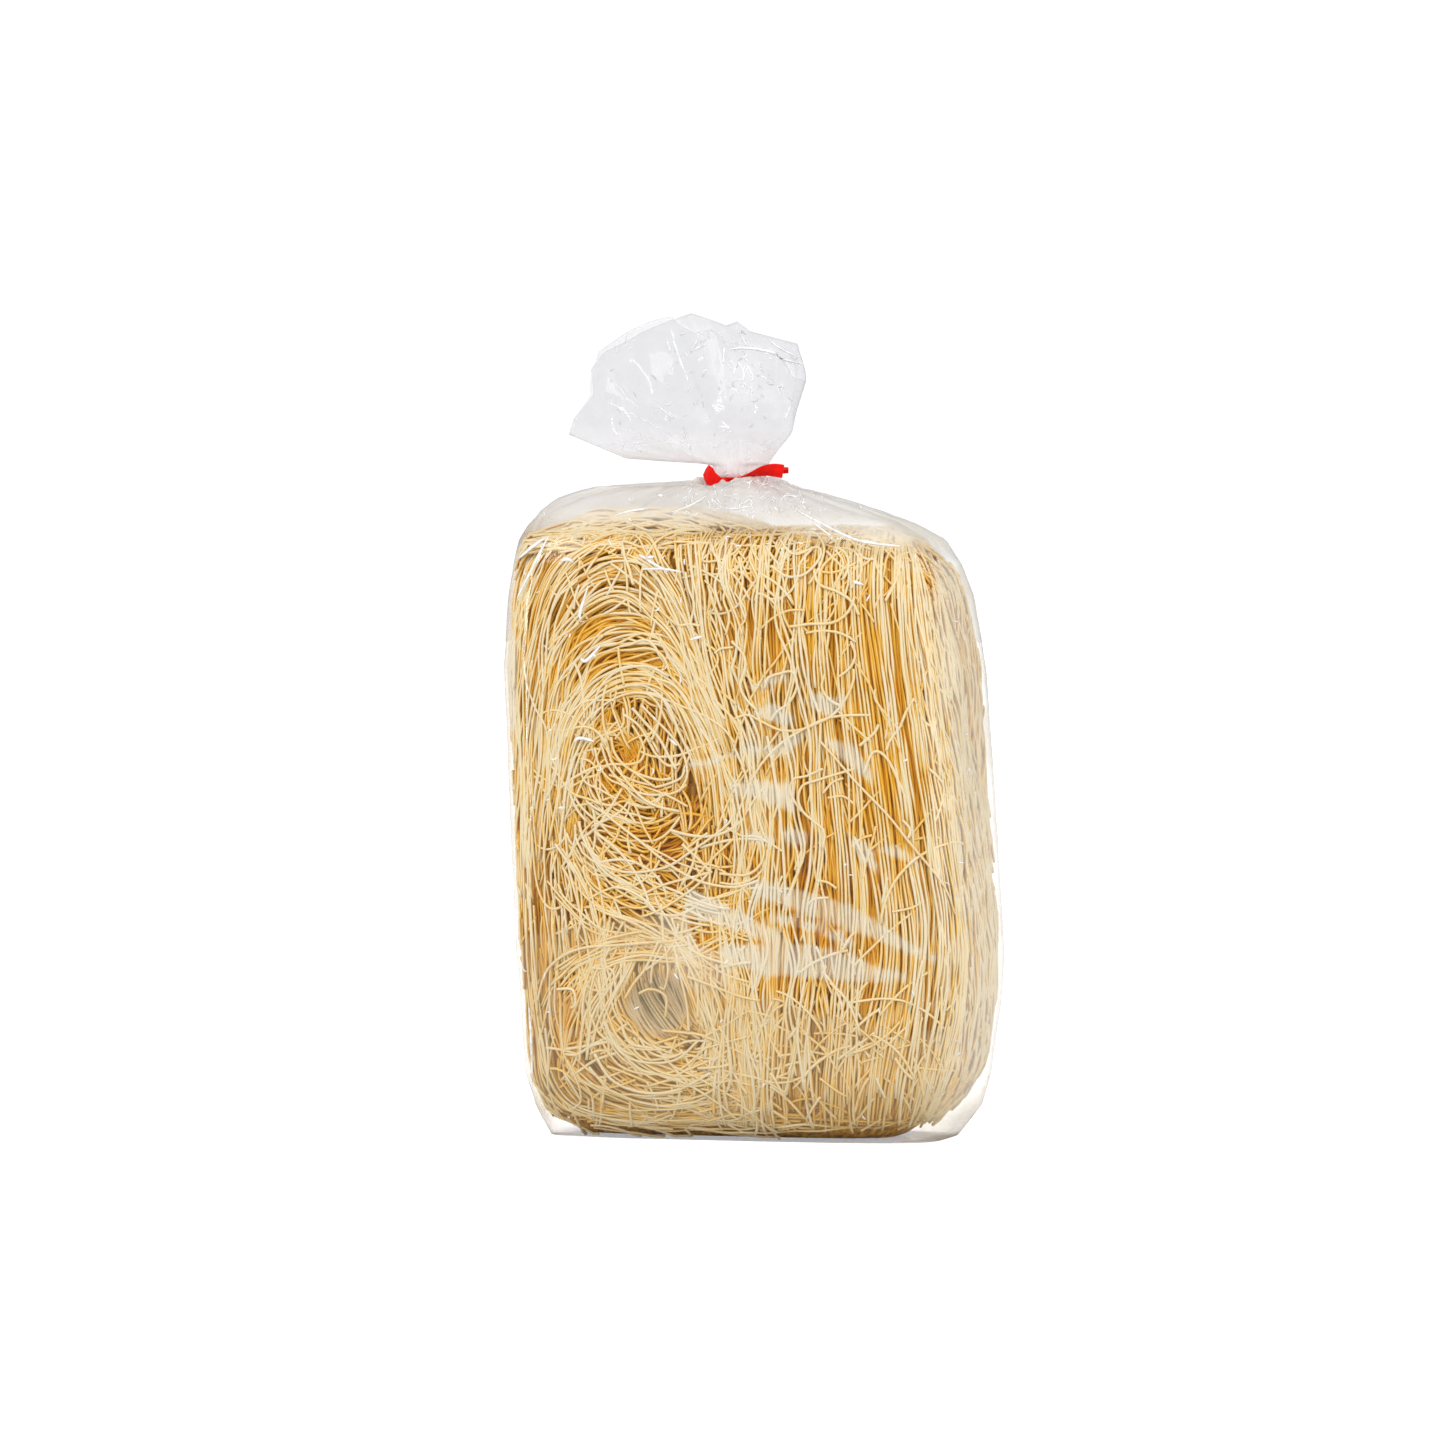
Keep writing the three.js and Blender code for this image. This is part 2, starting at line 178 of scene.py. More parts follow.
def way_along(points):
    """How far along a line each of its points is."""
    return np.concatenate([[0], np.cumsum(np.linalg.norm(np.diff(points, axis=0), axis=-1))])


def unit(vectors):
    return vectors / np.maximum(np.linalg.norm(vectors, axis=-1, keepdims=True), 1e-9)


class Cloud:
    """Smooth random values from 0 to 1 in space, the same on every run."""

    SIZE = 32

    def __init__(self, seed):
        self.grid = np.random.default_rng(seed).random((self.SIZE,) * 3)

    def at(self, points, scale):
        places = np.asarray(points, float) / scale
        low = np.floor(places).astype(int)
        f = places - low
        f = f * f * (3 - 2 * f)
        total = 0
        for corner in np.ndindex(2, 2, 2):
            i, j, k = np.moveaxis((low + corner) % self.SIZE, -1, 0)
            weight = np.prod(np.where(np.array(corner) == 1, f, 1 - f), axis=-1)
            total = total + self.grid[i, j, k] * weight
        return total

    def ridges(self, points, scale):
        """As at, with sharp crests like creases."""
        return 1 - np.abs(2 * self.at(points, scale) - 1)


# ---- sections of the pack ----

SECTION_POINTS = 1441  # on a section that is measured along


def outline(left, right, half_depth, squareness, angle):
    """Points of a rounded rectangle at an angle, with the front at -90 degrees."""
    cos, sin = np.cos(angle), np.sin(angle)
    x = (left + right) / 2 + (right - left) / 2 * np.sign(cos) * np.abs(cos) ** (2 / squareness)
    y = half_depth * np.sign(sin) * np.abs(sin) ** (2 / squareness)
    return x, y


def even_ring(left, right, half_depth, squareness, height, count):
    """Evenly spaced places round a level section, from its left side by way of its front."""
    x, y = outline(left, right, half_depth, squareness, np.linspace(np.pi, 3 * np.pi, SECTION_POINTS))
    way = way_along(np.stack([x, y], axis=-1))
    at = np.linspace(0, way[-1], count, endpoint=False)
    return np.stack([np.interp(at, way, x), np.interp(at, way, y), np.full(count, height, float)], axis=-1)


def block_edges(height):
    left, right, half_depth, squareness = read(BAG_OUTLINE, height)
    in_left, in_right, in_depth = read(BLOCK_INSET, height)
    return (
        left + in_left + FILM_STANDOFF,
        right - in_right - FILM_STANDOFF,
        half_depth - in_depth - FILM_STANDOFF,
        squareness,
    )


class BlockFace:
    """The block's surface seen from the front or the back. across is the way along it to the right from
    the middle, round the corners too, and up is the way up it from the foot, over the top edge too."""

    REACH = 150

    def __init__(self, back=False):
        side = -1 if back else 1
        across = np.arange(-self.REACH, self.REACH + 1)
        turn = np.linspace(-np.pi, np.pi, SECTION_POINTS) + side * -np.pi / 2
        rows = []
        foot = [(share, 0) for share in np.linspace(0, 0.95, 12)]
        wall = [(1, height) for height in np.arange(0, BLOCK_EDGE + 1)]
        top = [(share, BLOCK_EDGE) for share in np.linspace(0.95, 0, 12)]
        for share, height in foot + wall + top:
            x, y = outline(*block_edges(height), turn)
            along = way_along(np.stack([x, y], axis=-1))
            along = along - along[len(along) // 2] + side * x[len(x) // 2]
            dome = (BLOCK_TOP - BLOCK_EDGE) * (1 - share**2) if height == BLOCK_EDGE else 0
            row = np.stack(
                [
                    np.interp(across, along, x),
                    np.interp(across, along, y) * share,
                    np.full(across.shape, height + dome, float),
                ],
                axis=-1,
            )
            rows.append(row)
        rows = np.array(rows)
        way = way_along(rows[:, self.REACH])
        way -= way[len(foot)]
        self.low = math.ceil(way[0])
        up = np.arange(self.low, math.floor(way[-1]) + 1)
        self.points = np.empty((len(up), len(across), 3))
        for column in range(len(across)):
            for axis in range(3):
                self.points[:, column, axis] = np.interp(up, way, rows[:, column, axis])
        self.normals = unit(np.cross(np.gradient(self.points, axis=1), np.gradient(self.points, axis=0)))
        self.heights = np.arange(0, BLOCK_EDGE + 1)
        self.wall_way = way[len(foot) : len(foot) + len(wall)]

    def up_at(self, height):
        return np.interp(height, self.heights, self.wall_way)

    def sample(self, table, across, up):
        u = np.clip(up - self.low, 0, table.shape[0] - 1.001)
        v = np.clip(across + self.REACH, 0, table.shape[1] - 1.001)
        i, j = u.astype(int), v.astype(int)
        f, g = (u - i)[..., None], (v - j)[..., None]
        low = lerp(table[i, j], table[i, j + 1], g)
        return lerp(low, lerp(table[i + 1, j], table[i + 1, j + 1], g), f)

    def at(self, across, up, lift):
        """Places that stand lift off the surface, and its normals there."""
        normal = unit(self.sample(self.normals, across, up))
        return self.sample(self.points, across, up) + normal * lift[..., None], normal


front, back = BlockFace(), BlockFace(back=True)


def off_middle(across, up, x, height, half_width, half_height):
    """How far a place on the front lies from the middle of an oval on it, with 1 at the oval's edge."""
    return np.hypot((across - x) / half_width, (up - front.up_at(height)) / half_height)


def eye_depth(across, up):
    """How far the skein lies in at a place on the front, in the hollows of its folds."""
    depth = 0
    for *oval, deep in EYES:
        depth = depth + deep * (1 - smoothstep(off_middle(across, up, *oval), 0.35, 1.25))
    return depth


def mound(x):
    """How much of the rise near its top left corner the block has at x, from 0 to 1."""
    return smoothstep(x, -72, -48) * (1 - smoothstep(x, -24, 10))


# ---- materials ----


def linear(code):
    """An sRGB hex colour as linear numbers with full alpha."""
    channels = [int(code[i : i + 2], 16) / 255 for i in (1, 3, 5)]
    return (*[c / 12.92 if c <= 0.04045 else ((c + 0.055) / 1.055) ** 2.4 for c in channels], 1)


def material(name):
    made = bpy.data.materials.new(name)
    made.use_nodes = True
    made.node_tree.nodes.clear()
    return made


def node(made, kind, links=None, **settings):
    """Adds a node; settings name its properties, and links maps its inputs to values or outputs."""
    added = made.node_tree.nodes.new(kind)
    for key, value in settings.items():
        setattr(added, key, value)
    for key, value in (links or {}).items():
        socket = added.inputs[key]
        if isinstance(value, bpy.types.NodeSocket):
            made.node_tree.links.new(value, socket)
        else:
            socket.default_value = value
    return added


def ramp(made, factor, stops):
    added = node(made, "ShaderNodeValToRGB", {"Fac": factor})
    elements = added.color_ramp.elements
    while len(elements) < len(stops):
        elements.new(0.5)
    for element, (place, code) in zip(elements, stops):
        element.position = place
        element.color = linear(code)
    return added.outputs["Color"]


def dried_starch():
    """Dried rice starch, extruded through a die: in painted shade cream where it catches the light and golden
    where light reaches it only through its neighbours; ashen in the lower hollow, with a satin skin."""
    made = material("dried_rice_starch")
    tone = node(made, "ShaderNodeAttribute", attribute_name="tone").outputs["Fac"]
    ash = node(made, "ShaderNodeAttribute", attribute_name="ash").outputs["Fac"]
    place = node(made, "ShaderNodeTexCoord").outputs["Object"]
    # Patches about 8 mm across that dried a little lighter or darker.
    mottle = node(made, "ShaderNodeTexNoise", {"Vector": place, "Scale": 120, "Detail": 2.0})
    shade = node(
        made,
        "ShaderNodeMath",
        {0: mottle.outputs["Fac"], 1: 0.3, 2: -0.15},
        operation="MULTIPLY_ADD",
    )
    total = node(made, "ShaderNodeMath", {0: tone, 1: shade.outputs[0]}, operation="ADD", use_clamp=True)
    gold = ramp(
        made,
        total.outputs[0],
        [(0, "#EFE4CB"), (0.3, "#F2DEAA"), (0.6, "#EEBB3C"), (1, "#E69E08")],
    )
    colour = node(
        made,
        "ShaderNodeMix",
        {0: ash, 6: gold, 7: linear("#DCC59C")},
        data_type="RGBA",
    )
    shader = node(
        made,
        "ShaderNodeBsdfPrincipled",
        {"Base Color": colour.outputs[2], "Roughness": 0.45, "Specular IOR Level": 0.15},
    )
    node(made, "ShaderNodeOutputMaterial", {"Surface": shader.outputs[0]})
    return made


def core_starch_painted_shade():
    """The same starch deep between the strands, painted dark gold as shade, where only golden light is left.
    """
    made = material("rice_starch_painted_shade")
    place = node(made, "ShaderNodeTexCoord").outputs["Object"]
    # Strands lie 1.1 mm apart, so the streaks repeat about every 2 mm across and 60 mm up.
    stretched = node(made, "ShaderNodeMapping", {"Vector": place, "Scale": (1, 1, 0.035)})
    streak = node(made, "ShaderNodeTexNoise", {"Vector": stretched.outputs[0], "Scale": 520, "Detail": 2.0})
    colour = ramp(made, streak.outputs["Fac"], [(0.35, "#A66C06"), (0.5, "#D0920E"), (0.65, "#ECB83E")])
    bump = node(made, "ShaderNodeBump", {"Height": streak.outputs["Fac"], "Distance": 0.0006})
    shader = node(
        made,
        "ShaderNodeBsdfPrincipled",
        {"Base Color": colour, "Roughness": 0.6, "Specular IOR Level": 0.2, "Normal": bump.outputs[0]},
    )
    node(made, "ShaderNodeOutputMaterial", {"Surface": shader.outputs[0]})
    return made


def clear_film():
    """Cast polypropylene film: clear where it lies smooth, glossy, milky where it is crumpled, and with
    sharp-edged veils of starch dust and painted glare."""
    made = material("cast_polypropylene_film")
    haze = node(made, "ShaderNodeAttribute", attribute_name="haze").outputs["Fac"]
    veil = node(made, "ShaderNodeAttribute", attribute_name="veil").outputs["Fac"]
    dust_and_glare = node(made, "ShaderNodeAttribute", attribute_name="dust_and_glare").outputs["Fac"]
    place = node(made, "ShaderNodeTexCoord").outputs["Object"]
    edge = node(
        made,
        "ShaderNodeMapRange",
        {"Value": veil, "From Min": 0.45, "From Max": 0.55, "To Max": dust_and_glare},
        interpolation_type="SMOOTHSTEP",
    )
    # Clouds about 12 mm across in the veil.
    cloud = node(made, "ShaderNodeTexNoise", {"Vector": place, "Scale": 80, "Detail": 2.0})
    patchy = node(
        made,
        "ShaderNodeMapRange",
        {"Value": cloud.outputs["Fac"], "From Min": 0.3, "From Max": 0.7, "To Min": 0.75},
    )
    white = node(
        made,
        "ShaderNodeMath",
        {0: edge.outputs[0], 1: patchy.outputs[0], 2: haze},
        operation="MULTIPLY_ADD",
        use_clamp=True,
    )
    # Fine crumples, about 4 mm apart.
    crumple = node(made, "ShaderNodeTexNoise", {"Vector": place, "Scale": 250, "Detail": 1.0})
    bump = node(
        made,
        "ShaderNodeBump",
        {"Height": crumple.outputs["Fac"], "Distance": 0.0003, "Strength": 0.25},
    )
    # A thin film mirrors alike from both sides, so this is Schlick's rule, which has no inside.
    slant = node(made, "ShaderNodeLayerWeight", {"Blend": 0.5, "Normal": bump.outputs[0]}).outputs["Facing"]
    glancing = node(made, "ShaderNodeMath", {0: slant, 1: 5}, operation="POWER")
    gloss = node(
        made,
        "ShaderNodeMath",
        {0: glancing.outputs[0], 1: 0.88, 2: 0.025},
        operation="MULTIPLY_ADD",
    )
    clear = node(made, "ShaderNodeBsdfTransparent", {"Color": linear("#FDFDFE")})
    mirror = node(
        made,
        "ShaderNodeBsdfGlossy",
        {"Color": (1, 1, 1, 1), "Roughness": 0.08, "Normal": bump.outputs[0]},
    )
    skin = node(
        made,
        "ShaderNodeMixShader",
        {0: gloss.outputs[0], 1: clear.outputs[0], 2: mirror.outputs[0]},
    )
    # Cream where the veils are thick; by height, cream over the noodles, cool where the film stands clear of
    # them and a darker grey high in the fan, which is painted shade.
    up = node(made, "ShaderNodeSeparateXYZ", {"Vector": place}).outputs["Z"]
    height = node(made, "ShaderNodeMapRange", {"Value": up, "From Min": 190 * MM, "From Max": 240 * MM})
    tint_and_painted_shade = ramp(
        made,
        height.outputs[0],
        [(0, "#F9F2DE"), (0.2, "#EAE6DA"), (0.4, "#DFDDDA"), (0.68, "#E8E4E3"), (0.95, "#C2C2C6")],
    )
    thick = node(made, "ShaderNodeMapRange", {"Value": dust_and_glare, "From Min": 0.15, "From Max": 0.3})
    colour = node(
        made,
        "ShaderNodeMix",
        {0: thick.outputs[0], 6: linear("#DCC899"), 7: tint_and_painted_shade},
        data_type="RGBA",
    ).outputs[2]
    milk = node(
        made,
        "ShaderNodeBsdfPrincipled",
        {"Base Color": colour, "Roughness": 0.35, "Specular IOR Level": 0.15, "Normal": bump.outputs[0]},
    )
    surface = node(
        made,
        "ShaderNodeMixShader",
        {0: white.outputs[0], 1: skin.outputs[0], 2: milk.outputs[0]},
    )
    node(made, "ShaderNodeOutputMaterial", {"Surface": surface.outputs[0]})
    return made


def film_inner_face():
    """The film's inner face, which adds nothing of its own to what the outer one shows."""
    made = material("inner_face_of_polypropylene_film")
    clear = node(made, "ShaderNodeBsdfTransparent", {"Color": (1, 1, 1, 1)})
    node(made, "ShaderNodeOutputMaterial", {"Surface": clear.outputs[0]})
    return made


def painted_glint_film():
    """Painted highlights: the same film at a sharp crease, painted white where it flashes in the light."""
    made = material("painted_glint_on_polypropylene_film")
    place = node(made, "ShaderNodeTexCoord").outputs["Object"]
    # Breaks about 3 mm apart, as a painted glint isn't white all along.
    breaks = node(made, "ShaderNodeTexNoise", {"Vector": place, "Scale": 330, "Detail": 1.0})
    share = node(
        made,
        "ShaderNodeMapRange",
        {"Value": breaks.outputs["Fac"], "From Min": 0.3, "From Max": 0.55, "To Min": 0.35, "To Max": 0.95},
    )
    clear = node(made, "ShaderNodeBsdfTransparent")
    white = node(
        made,
        "ShaderNodeBsdfPrincipled",
        {"Base Color": linear("#FFFFFF"), "Roughness": 0.12, "IOR": 1.49},
    )
    surface = node(
        made,
        "ShaderNodeMixShader",
        {0: share.outputs[0], 1: clear.outputs[0], 2: white.outputs[0]},
    )
    node(made, "ShaderNodeOutputMaterial", {"Surface": surface.outputs[0]})
    return made


def red_ribbon():
    """Extruded PVC ribbon over a wire: saturated red with a soft gloss."""
    made = material("extruded_pvc_ribbon")
    place = node(made, "ShaderNodeTexCoord").outputs["Object"]
    grain = node(made, "ShaderNodeTexNoise", {"Vector": place, "Scale": 900, "Detail": 2.0})
    colour = ramp(made, grain.outputs["Fac"], [(0.3, "#D80A04"), (0.7, "#E81408")])
    bump = node(made, "ShaderNodeBump", {"Height": grain.outputs["Fac"], "Distance": 0.00008})
    shader = node(
        made,
        "ShaderNodeBsdfPrincipled",
        {"Base Color": colour, "Roughness": 0.3, "Specular IOR Level": 0.15, "Normal": bump.outputs[0]},
    )
    node(made, "ShaderNodeOutputMaterial", {"Surface": shader.outputs[0]})
    return made


def studio_floor():
    made = material("painted_studio_floor")
    # Seen straight it is as white as the backdrop, without a shadow.
    seen = node(made, "ShaderNodeLightPath").outputs["Is Camera Ray"]
    shader = node(
        made,
        "ShaderNodeBsdfPrincipled",
        {
            "Base Color": linear("#D4D4D4"),
            "Specular IOR Level": 0.0,
            "Emission Color": (1, 1, 1, 1),
            "Emission Strength": seen,
        },
    )
    node(made, "ShaderNodeOutputMaterial", {"Surface": shader.outputs[0]})
    return made


# ---- meshes ----


def piece(name, mesh, made, slot, *nodes):
    """A mesh as a piece of the object that rides with it and stands for the CAD nodes named."""
    mesh.materials.append(made)
    added = bpy.data.objects.new(name, mesh)
    bpy.context.scene.collection.objects.link(added)
    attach(added, "root")
    if nodes:
        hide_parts(*nodes)
    return added


def tube_mesh(name, bundles, layers, flatness=1.0):
    """One mesh of many four-sided strands. Each bundle is (places, normals, radius, *values), with places
    and normals as (strands, points, 3) and the values, one for each layer, as (strands, points)."""
    turns = 2 * np.pi * np.arange(STRAND_SIDES) / STRAND_SIDES
    points, faces, values, used = [], [], [[] for _ in layers], 0
    for places, normals, radius, *given in bundles:
        along = unit(np.gradient(places, axis=1))
        side = unit(np.cross(along, normals))
        out = np.cross(side, along) * flatness
        ring = np.cos(turns)[:, None] * out[:, :, None] + np.sin(turns)[:, None] * side[:, :, None]
        radius = np.broadcast_to(radius, places.shape[:2])[:, :, None, None]
        points.append((places[:, :, None] + radius * ring).reshape(-1, 3))
        for key, stack, value in zip(layers, values, given):
            # Painted shade: the underside of each strand is painted more golden than its top.
            under = UNDERSIDE_PAINTED_SHADE * (1 - np.cos(turns)) / 2 * (key == "tone")
            stack.append((value[..., None] + under).ravel())
        count, length = places.shape[:2]
        index = np.arange(count * length * STRAND_SIDES).reshape(count, length, STRAND_SIDES) + used
        near, far = index[:, :-1], index[:, 1:]
        walls = np.stack([near, far, np.roll(far, -1, axis=2), np.roll(near, -1, axis=2)], axis=-1)
        faces += [walls.reshape(-1, 4), index[:, 0], index[:, -1, ::-1]]
        used += index.size
    points, faces = np.concatenate(points) * MM, np.concatenate(faces)
    mesh = bpy.data.meshes.new(name)
    mesh.vertices.add(len(points))
    mesh.vertices.foreach_set("co", points.astype(np.float32).ravel())
    mesh.loops.add(faces.size)
    mesh.loops.foreach_set("vertex_index", faces.astype(np.int32).ravel())
    mesh.polygons.add(len(faces))
    mesh.polygons.foreach_set("loop_start", np.arange(0, faces.size, STRAND_SIDES, dtype=np.int32))
    mesh.update(calc_edges=True)
    mesh.shade_smooth()
    for key, stack in zip(layers, values):
        layer = mesh.attributes.new(key, "FLOAT", "POINT")
        layer.data.foreach_set("value", np.clip(np.concatenate(stack), 0, 1).astype(np.float32))
    return mesh


def finished_mesh(name, bm):
    """A smooth mesh of what a bmesh holds, which it frees."""
    mesh = bpy.data.meshes.new(name)
    bm.to_mesh(mesh)
    bm.free()
    mesh.shade_smooth()
    return mesh


def grid_mesh(name, places, layers=None):
    """A mesh through rows of places, (rows, columns, 3), that closes round from its last column to its
    first. Rows that shrink to a point are closed there. layers maps names to (rows, columns) values."""
    rows, columns = places.shape[:2]
    bm = bmesh.new()
    stacks = [(bm.verts.layers.float.new(key), values) for key, values in (layers or {}).items()]
    bmesh.ops.create_grid(bm, x_segments=columns, y_segments=rows - 1, size=1)
    for vert in bm.verts:
        # The grid's corners run from -1 to 1 along its columns and rows.
        column = round((vert.co.x + 1) / 2 * columns) % columns
        row = round((vert.co.y + 1) / 2 * (rows - 1))
        vert.co = places[row, column] * MM
        for layer, values in stacks:
            vert[layer] = values[row, column]
    bmesh.ops.remove_doubles(bm, verts=bm.verts, dist=SAME_PLACE)
    bmesh.ops.recalc_face_normals(bm, faces=bm.faces)
    # On an open shell they may all point in.
    if max(bm.faces, key=lambda face: face.calc_center_median().x).normal.x < 0:
        bmesh.ops.reverse_faces(bm, faces=bm.faces)
    return finished_mesh(name, bm)


# ---- strands ----

STRAND_GAP = 1.15  # between the middles of neighbours in a lock
TOP_LIFT = 0.7  # the outermost strands' middles, off the block's surface
LEVELS = 7  # neighbours stop at so many levels, LEVEL_STEP apart
LEVEL_STEP = 0.07
LOWEST = 1.3  # the lowest way up the block's surface that a strand's middle lies at
CORE_INSET = 4.4
CORE_RINGS = 70
CORE_COLUMNS = 160
MOUND_HEIGHT = 7  # how far the strands over the top left corner rise over the block's edge
CORE_SWELL = 8  # how far the core rises under them

# How golden a strand is painted by how far it lies off the surface, which is painted shade: light reaches the
# deep ones only through the starch above them, which keeps back the blue.
TONE_LIFTS = (-6, -3.6, -2.4, -1.2, 0.5)
PAINTED_SHADE_TONES = (1, 0.95, 0.8, 0.49, 0.04)

# Where the painted shade of the front's deeper strands is more golden, or less below 0: across, height, half
# width, half height, how much.
PAINTED_SHADE_PATCHES = [
    (-33, 150, 18, 18, 0.1),
    (-35, 188, 34, 18, -0.2),
    (-33, 124, 16, 14, 0.1),
    (-30, 93, 14, 18, 0.25),
    (22, 66, 36, 20, 0.36),
    (-76, 100, 14, 110, -0.2),
    (58, 124, 15, 38, 0.25),
    (28, 88, 22, 24, 0.25),
    (-53, 36, 8, 10, 0.25),
    (5, 150, 10, 20, 0.12),
    (30, 176, 34, 22, 0.14),
    (108, 105, 38, 130, -0.6),
]


def on_face(face, guides):
    """Guide strands given as (across, height) as (across, up); above the top edge, up goes on inwards."""
    guides = np.array(guides, float)
    height = guides[..., 1]
    over = np.maximum(height - BLOCK_EDGE, 0)
    guides[..., 1] = face.up_at(np.minimum(height, BLOCK_EDGE)) + over
    return guides


def waves(rng, way, reach, lengths):
    """A slow random swing for each strand; way is how far along it each point is."""
    shape = (len(way), 1)
    total = 0
    for length in lengths:
        turn = 2 * np.pi * way / (length * rng.uniform(0.7, 1.3, shape))
        total = total + rng.normal(0, 1, shape) * np.sin(turn + rng.uniform(0, 2 * np.pi, shape))
    return reach * total / math.sqrt(len(lengths))


def kinks(rng, way, odds, reach):
    """Short stretches in which a strand swings to and fro, as it dried over its neighbours."""
    shape = (len(way), 1)
    middle = rng.uniform(0, 1, shape) * way[:, -1:]
    stretch = rng.uniform(10, 30, shape)
    turn = 2 * np.pi * way / rng.uniform(11, 24, shape) + rng.uniform(0, 2 * np.pi, shape)
    size = reach * rng.uniform(0.4, 1, shape) * (rng.random(shape) < odds)
    return size * np.exp(-(((way - middle) / stretch) ** 2)) * np.sin(turn)


tone_cloud = Cloud(41)


def lay(face, rng, across, up, lift, sink=1.0):
    """Strands laid on a face, as a bundle for tube_mesh with how golden and how ashen they are. sink is
    how far they follow the hollows of the folds."""
    ash, patch, under_dust_and_glare = 0 * across, 0 * across, 0 * across
    if face is front:
        lift = lift - sink * eye_depth(across, up)
        in_eye = 1 - smoothstep(off_middle(across, up, *LOWER_EYE), 0.8, 1.6)
        ash = in_eye * smoothstep(-lift, 0.2, 2.4)
        for *oval, gain in PAINTED_SHADE_PATCHES:
            patch = patch + gain * (1 - smoothstep(off_middle(across, up, *oval), 0.5, 1.3))
        under_dust_and_glare = smoothstep(inside_bands(seen_from_front_right(face.at(across, up, lift)[0])), -0.3, 0.5)
    # Neighbours stop at slightly different levels, so that they don't run together where they cross.
    level = TOP_LIFT - LEVEL_STEP * (np.arange(len(lift))[:, None] % LEVELS)
    lift = np.minimum(lift, level)
    places, normals = face.at(across, np.maximum(up, LOWEST), lift)
    # None sinks into the floor.
    places[..., 2] = np.maximum(places[..., 2], STRAND * 0.6)
    foot = 1 - smoothstep(places[..., 2], 2, 8)
    patch = patch + 0.3 * (tone_cloud.at(places, 24) - 0.5)
    # Painted shade: the deeper a strand lies, the more golden it is painted.
    tone = np.interp(lift, TONE_LIFTS, PAINTED_SHADE_TONES) + patch * smoothstep(-lift, -0.6, 1.0)
    # Near the floor they are painted paler, painted light against the floor's shade.
    tone = tone + rng.normal(0, 0.1, (len(lift), 1)) - 0.12 * foot
    # Under the film's veils, which are starch dust and painted glare, the strands are painted paler too.
    tone = tone - 0.55 * under_dust_and_glare
    # Greyer near the floor.
    ash = np.maximum(ash, 0.5 * foot)
    return places, normals, STRAND / 2 * rng.uniform(0.78, 1.02, (len(lift), 1)), tone, ash


def locks(
    face,
    rng,
    guides,
    count,
    size,
    depth,
    wave=1.2,
    drift=0.03,
    trim=0.1,
    spacing=2.4,
    kink=(0, 0),
    even=1.0,
    calm=0,
):
    """Strands in locks of a size each, that run between guide strands at a depth.

    wave is how far a lock swings and drift how far it wanders from guide to guide. trim is how much a
    strand may be short of at either end, spacing the way between its points, and kink the odds and the
    reach of a kink in it. The lower even is, the more evenly the locks are spread, and calm is how much
    straighter they run by the last guide."""
    guides = on_face(face, guides)
    reach = np.linalg.norm(np.diff(guides, axis=1), axis=-1).sum(axis=1).mean()
    steps = max(int(reach / spacing), 4)
    t = np.linspace(0, 1, steps)[None]
    way = np.repeat(t * reach, count, axis=0)
    swing = waves(rng, way, wave, (45, 80, 150))
    heave = waves(rng, way, 0.45, (40, 90))
    share = (np.arange(count) + 0.5 + even * rng.uniform(-0.5, 0.5, count))[:, None] / count
    share = share + waves(rng, way, drift, (150, 300))
    lock = np.repeat(np.arange(count), size)
    total = len(lock)
    swing = swing * (1 - calm * smoothstep(share, 0.3, 0.7))
    still = 1 - calm * smoothstep(share[lock], 0.3, 0.7)
    place = np.tile(np.arange(size) - (size - 1) / 2, count)[:, None] * STRAND_GAP
    t = lerp(rng.uniform(0, trim, (total, 1)), 1 - rng.uniform(0, trim, (total, 1)), t)
    lines = np.array([follow(np.repeat(guide[None], total, axis=0), t) for guide in guides])
    share = np.clip(share[lock], 0, 0.9999) * (len(guides) - 1)
    low = share.astype(int)
    strand, step = np.indices(low.shape)
    line = lerp(lines[low, strand, step], lines[low + 1, strand, step], (share - low)[..., None])
    heading = unit(np.gradient(line, axis=1))
    way = t * reach
    aside = place + swing[lock] + still * (waves(rng, way, 0.3, (21, 40, 70)) + kinks(rng, way, *kink))
    lift = depth + heave[lock] + waves(rng, way, 0.22, (20, 50)) + rng.uniform(-0.3, 0.3, (total, 1))
    across = line[..., 0] + heading[..., 1] * aside
    up = line[..., 1] - heading[..., 0] * aside
    return lay(face, rng, across, up, lift)


def scattered(face, rng, count, length, region, heading, bend=0.25, lift=0.2, spacing=1.8, curl=0.0):
    """Loose strands that start in a region (left, right, low, high) and head one way, give or take.
    bend is how many radians they turn in 10 mm, and curl adds a steady turn one way or the other."""
    left, right, low, high = region
    steps = max(int(length / spacing), 3)
    shape = (count, 1)
    step = length / steps * rng.uniform(0.45, 1.4, shape)
    turning = rng.normal(0, bend, shape) + curl * rng.choice((-1, 1), shape)
    turning = turning + waves(rng, np.arange(steps)[None] * step, bend, (14, 30))
    angle = rng.normal(*heading, shape) + np.cumsum(turning * step / 10, axis=1)
    across = rng.uniform(left, right, shape) + np.cumsum(step * np.cos(angle), axis=1)
    up = face.up_at(rng.uniform(low, high, shape)) + np.cumsum(step * np.sin(angle), axis=1)
    if face is front:
        # None lies in the lower hollow.
        clear = off_middle(across, up, *LOWER_EYE).min(axis=1) > 0.8
        across, up, lift = across[clear], up[clear], lift + 0 * across[clear]
        shape = (len(across), 1)
    tilt = np.linspace(0, 1, steps)[None] * rng.uniform(-1.0, 0.3, shape)
    return lay(face, rng, across, up, lift + rng.uniform(-0.4, 0.3, shape) + tilt, sink=0.6)


